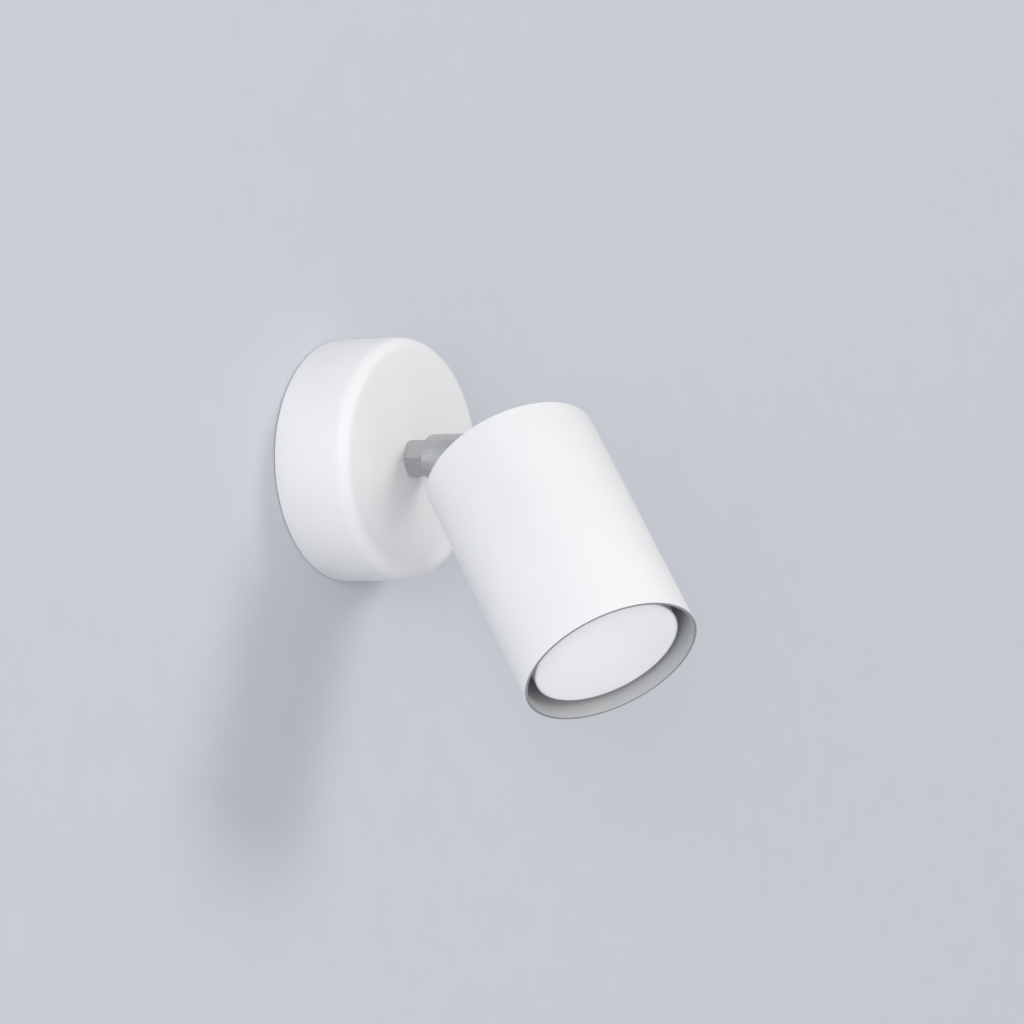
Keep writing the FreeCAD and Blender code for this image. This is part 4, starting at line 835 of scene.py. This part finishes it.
# %% A flat ring
def stage_ring(name, inner, outer, matrix, material):
    """A flat round plane in metres, facing along the matrix's Z, with an opening if inner isn't zero."""
    shape = bmesh.new()
    for radius in (inner, outer):
        if radius:
            bmesh.ops.create_circle(shape, cap_ends=not inner, segments=96, radius=radius)
    if inner:
        bmesh.ops.bridge_loops(shape, edges=shape.edges[:])
    bmesh.ops.transform(shape, matrix=matrix, verts=shape.verts)
    bmesh.ops.recalc_face_normals(shape, faces=shape.faces)
    toward_room = matrix.to_3x3() @ Vector((0, 0, 1))
    shape.faces.ensure_lookup_table()
    if shape.faces[0].normal.dot(toward_room) < 0:
        bmesh.ops.reverse_faces(shape, faces=shape.faces)
    mesh = mesh_from(shape, name)
    mesh.materials.append(material)
    piece = add_object(name, mesh)
    print(f"{name} faces {[round(v, 2) for v in mesh.polygons[0].normal]}")


print("a ring without an inner radius is a full disc")

# %% [markdown]
# The paint is a dull pale colour with a very faint cloud in it. The wall could be hidden for a view
# from behind, but one scene has to do for every view. So its material lets that view see through it: a
# Mix Shader takes a transparent surface where the ray meets the back of a face. From the room the wall
# stays opaque and keeps the light's shadow. Wall and floor are in metres, as they are a room's size.

# %% Wall and floor paint
WALL_COLOUR = (0.635, 0.655, 0.70)
FLOOR_COLOUR = (0.66, 0.67, 0.69)
OPENING_RADIUS = 39 * MM
BEHIND_CANOPY = 0.3
WALL_RADIUS = 6
FLOOR_RADIUS = 9
FLOOR_HEIGHT = -1.4


def stage_paint(name, colour, one_sided):
    paint = Finish(name, Specular_IOR_Level=0.1)
    cloud = paint.spread(paint.noise(paint.place(), scale=60, detail=3), 0.3, 0.7)
    material = paint.set(Base_Color=paint.blend(cloud, colour, shaded(colour, 0.985)), Roughness=0.9)
    if one_sided:
        seen_from_behind = paint.node("ShaderNodeNewGeometry", {}, {}, "Backfacing")
        surface = Signal(paint, paint.shader.outputs["BSDF"])
        clear = paint.node("ShaderNodeBsdfTransparent", {}, {})
        mixed = paint.node("ShaderNodeMixShader", {}, {0: seen_from_behind, 1: surface, 2: clear})
        paint.fill(paint.output.inputs["Surface"], mixed)
    return material


wall_paint = stage_paint("wall_paint", WALL_COLOUR, True)
floor_paint = stage_paint("floor_paint", FLOOR_COLOUR, False)
stage_ring("wall", OPENING_RADIUS, WALL_RADIUS, shift(0, BEHIND_CANOPY, 0) @ away_from_wall, wall_paint)
stage_ring("floor", 0, FLOOR_RADIUS, Matrix.Translation((0, 0, FLOOR_HEIGHT)), floor_paint)

# %% [markdown]
# ## Lamps
#
# One large soft lamp stands high in front and throws the soft shadow down the wall, and another stands
# on the left and lights the canopy's side. A sun would throw a hard shadow, and a soft shadow needs a
# large lamp nearby, so both are round area lamps. Their power stays at a plain level: the colours of
# the wall and of the world make the background pale.

# %% Two softboxes
LIGHT_MIDDLE = Vector((0, -0.06, 0))
SOFTBOX_DISTANCE = 4.5


def softbox(name, toward, size, power):
    """A round area lamp in the direction toward, which faces the light."""
    lamp = bpy.data.lights.new(name, "AREA")
    lamp.shape = "DISK"
    lamp.size = size
    lamp.energy = power
    holder = add_object(name, lamp)
    direction = toward.normalized()
    holder.location = LIGHT_MIDDLE + direction * SOFTBOX_DISTANCE
    holder.rotation_euler = direction.to_track_quat("Z", "Y").to_euler()
    return holder


key = softbox("key_softbox", Vector((0.33, -1, 0.54)), size=1.6, power=53)
left = softbox("left_softbox", Vector((-0.92, -0.35, 0.1)), size=2.6, power=82)
print("lamps:", key.name, left.name)

# %% [markdown]
# ## The room's own light
#
# A room is pale above and darker below, and metal shows that in its reflections. A picture of a room
# could light the scene, but this light needs only that one change, so the world's colour is a ramp
# over the height of the direction a ray leaves in. The view transform is Standard, which leaves the
# colours as they are written.

# %% World
WORLD_STRENGTH = 0.6
LOW_SKY = (0.26, 0.26, 0.265)
HIGH_SKY = (0.98, 0.98, 0.99)
HIGH_SKY_FROM = 0.24
RISE = 0.5
AT_HORIZON = 0.3

world = bpy.data.worlds.new("studio")
bpy.context.scene.world = world
world.use_nodes = True
sky = Network(world.node_tree)
toward = sky.node("ShaderNodeTexCoord", {}, {}, "Generated")
height = sky.node("ShaderNodeSeparateXYZ", {}, {"Vector": toward}, "Z")
stops = ((0.0, LOW_SKY), (HIGH_SKY_FROM, HIGH_SKY))
shade = sky.node("ShaderNodeValToRGB", {"stops": stops}, {"Fac": height * RISE + AT_HORIZON})
background = sky.tree.nodes["Background"]
sky.fill(background.inputs["Color"], shade)
sky.fill(background.inputs["Strength"], WORLD_STRENGTH)
bpy.context.scene.view_settings.view_transform = "Standard"
print("world:", world.name, "at", WORLD_STRENGTH)
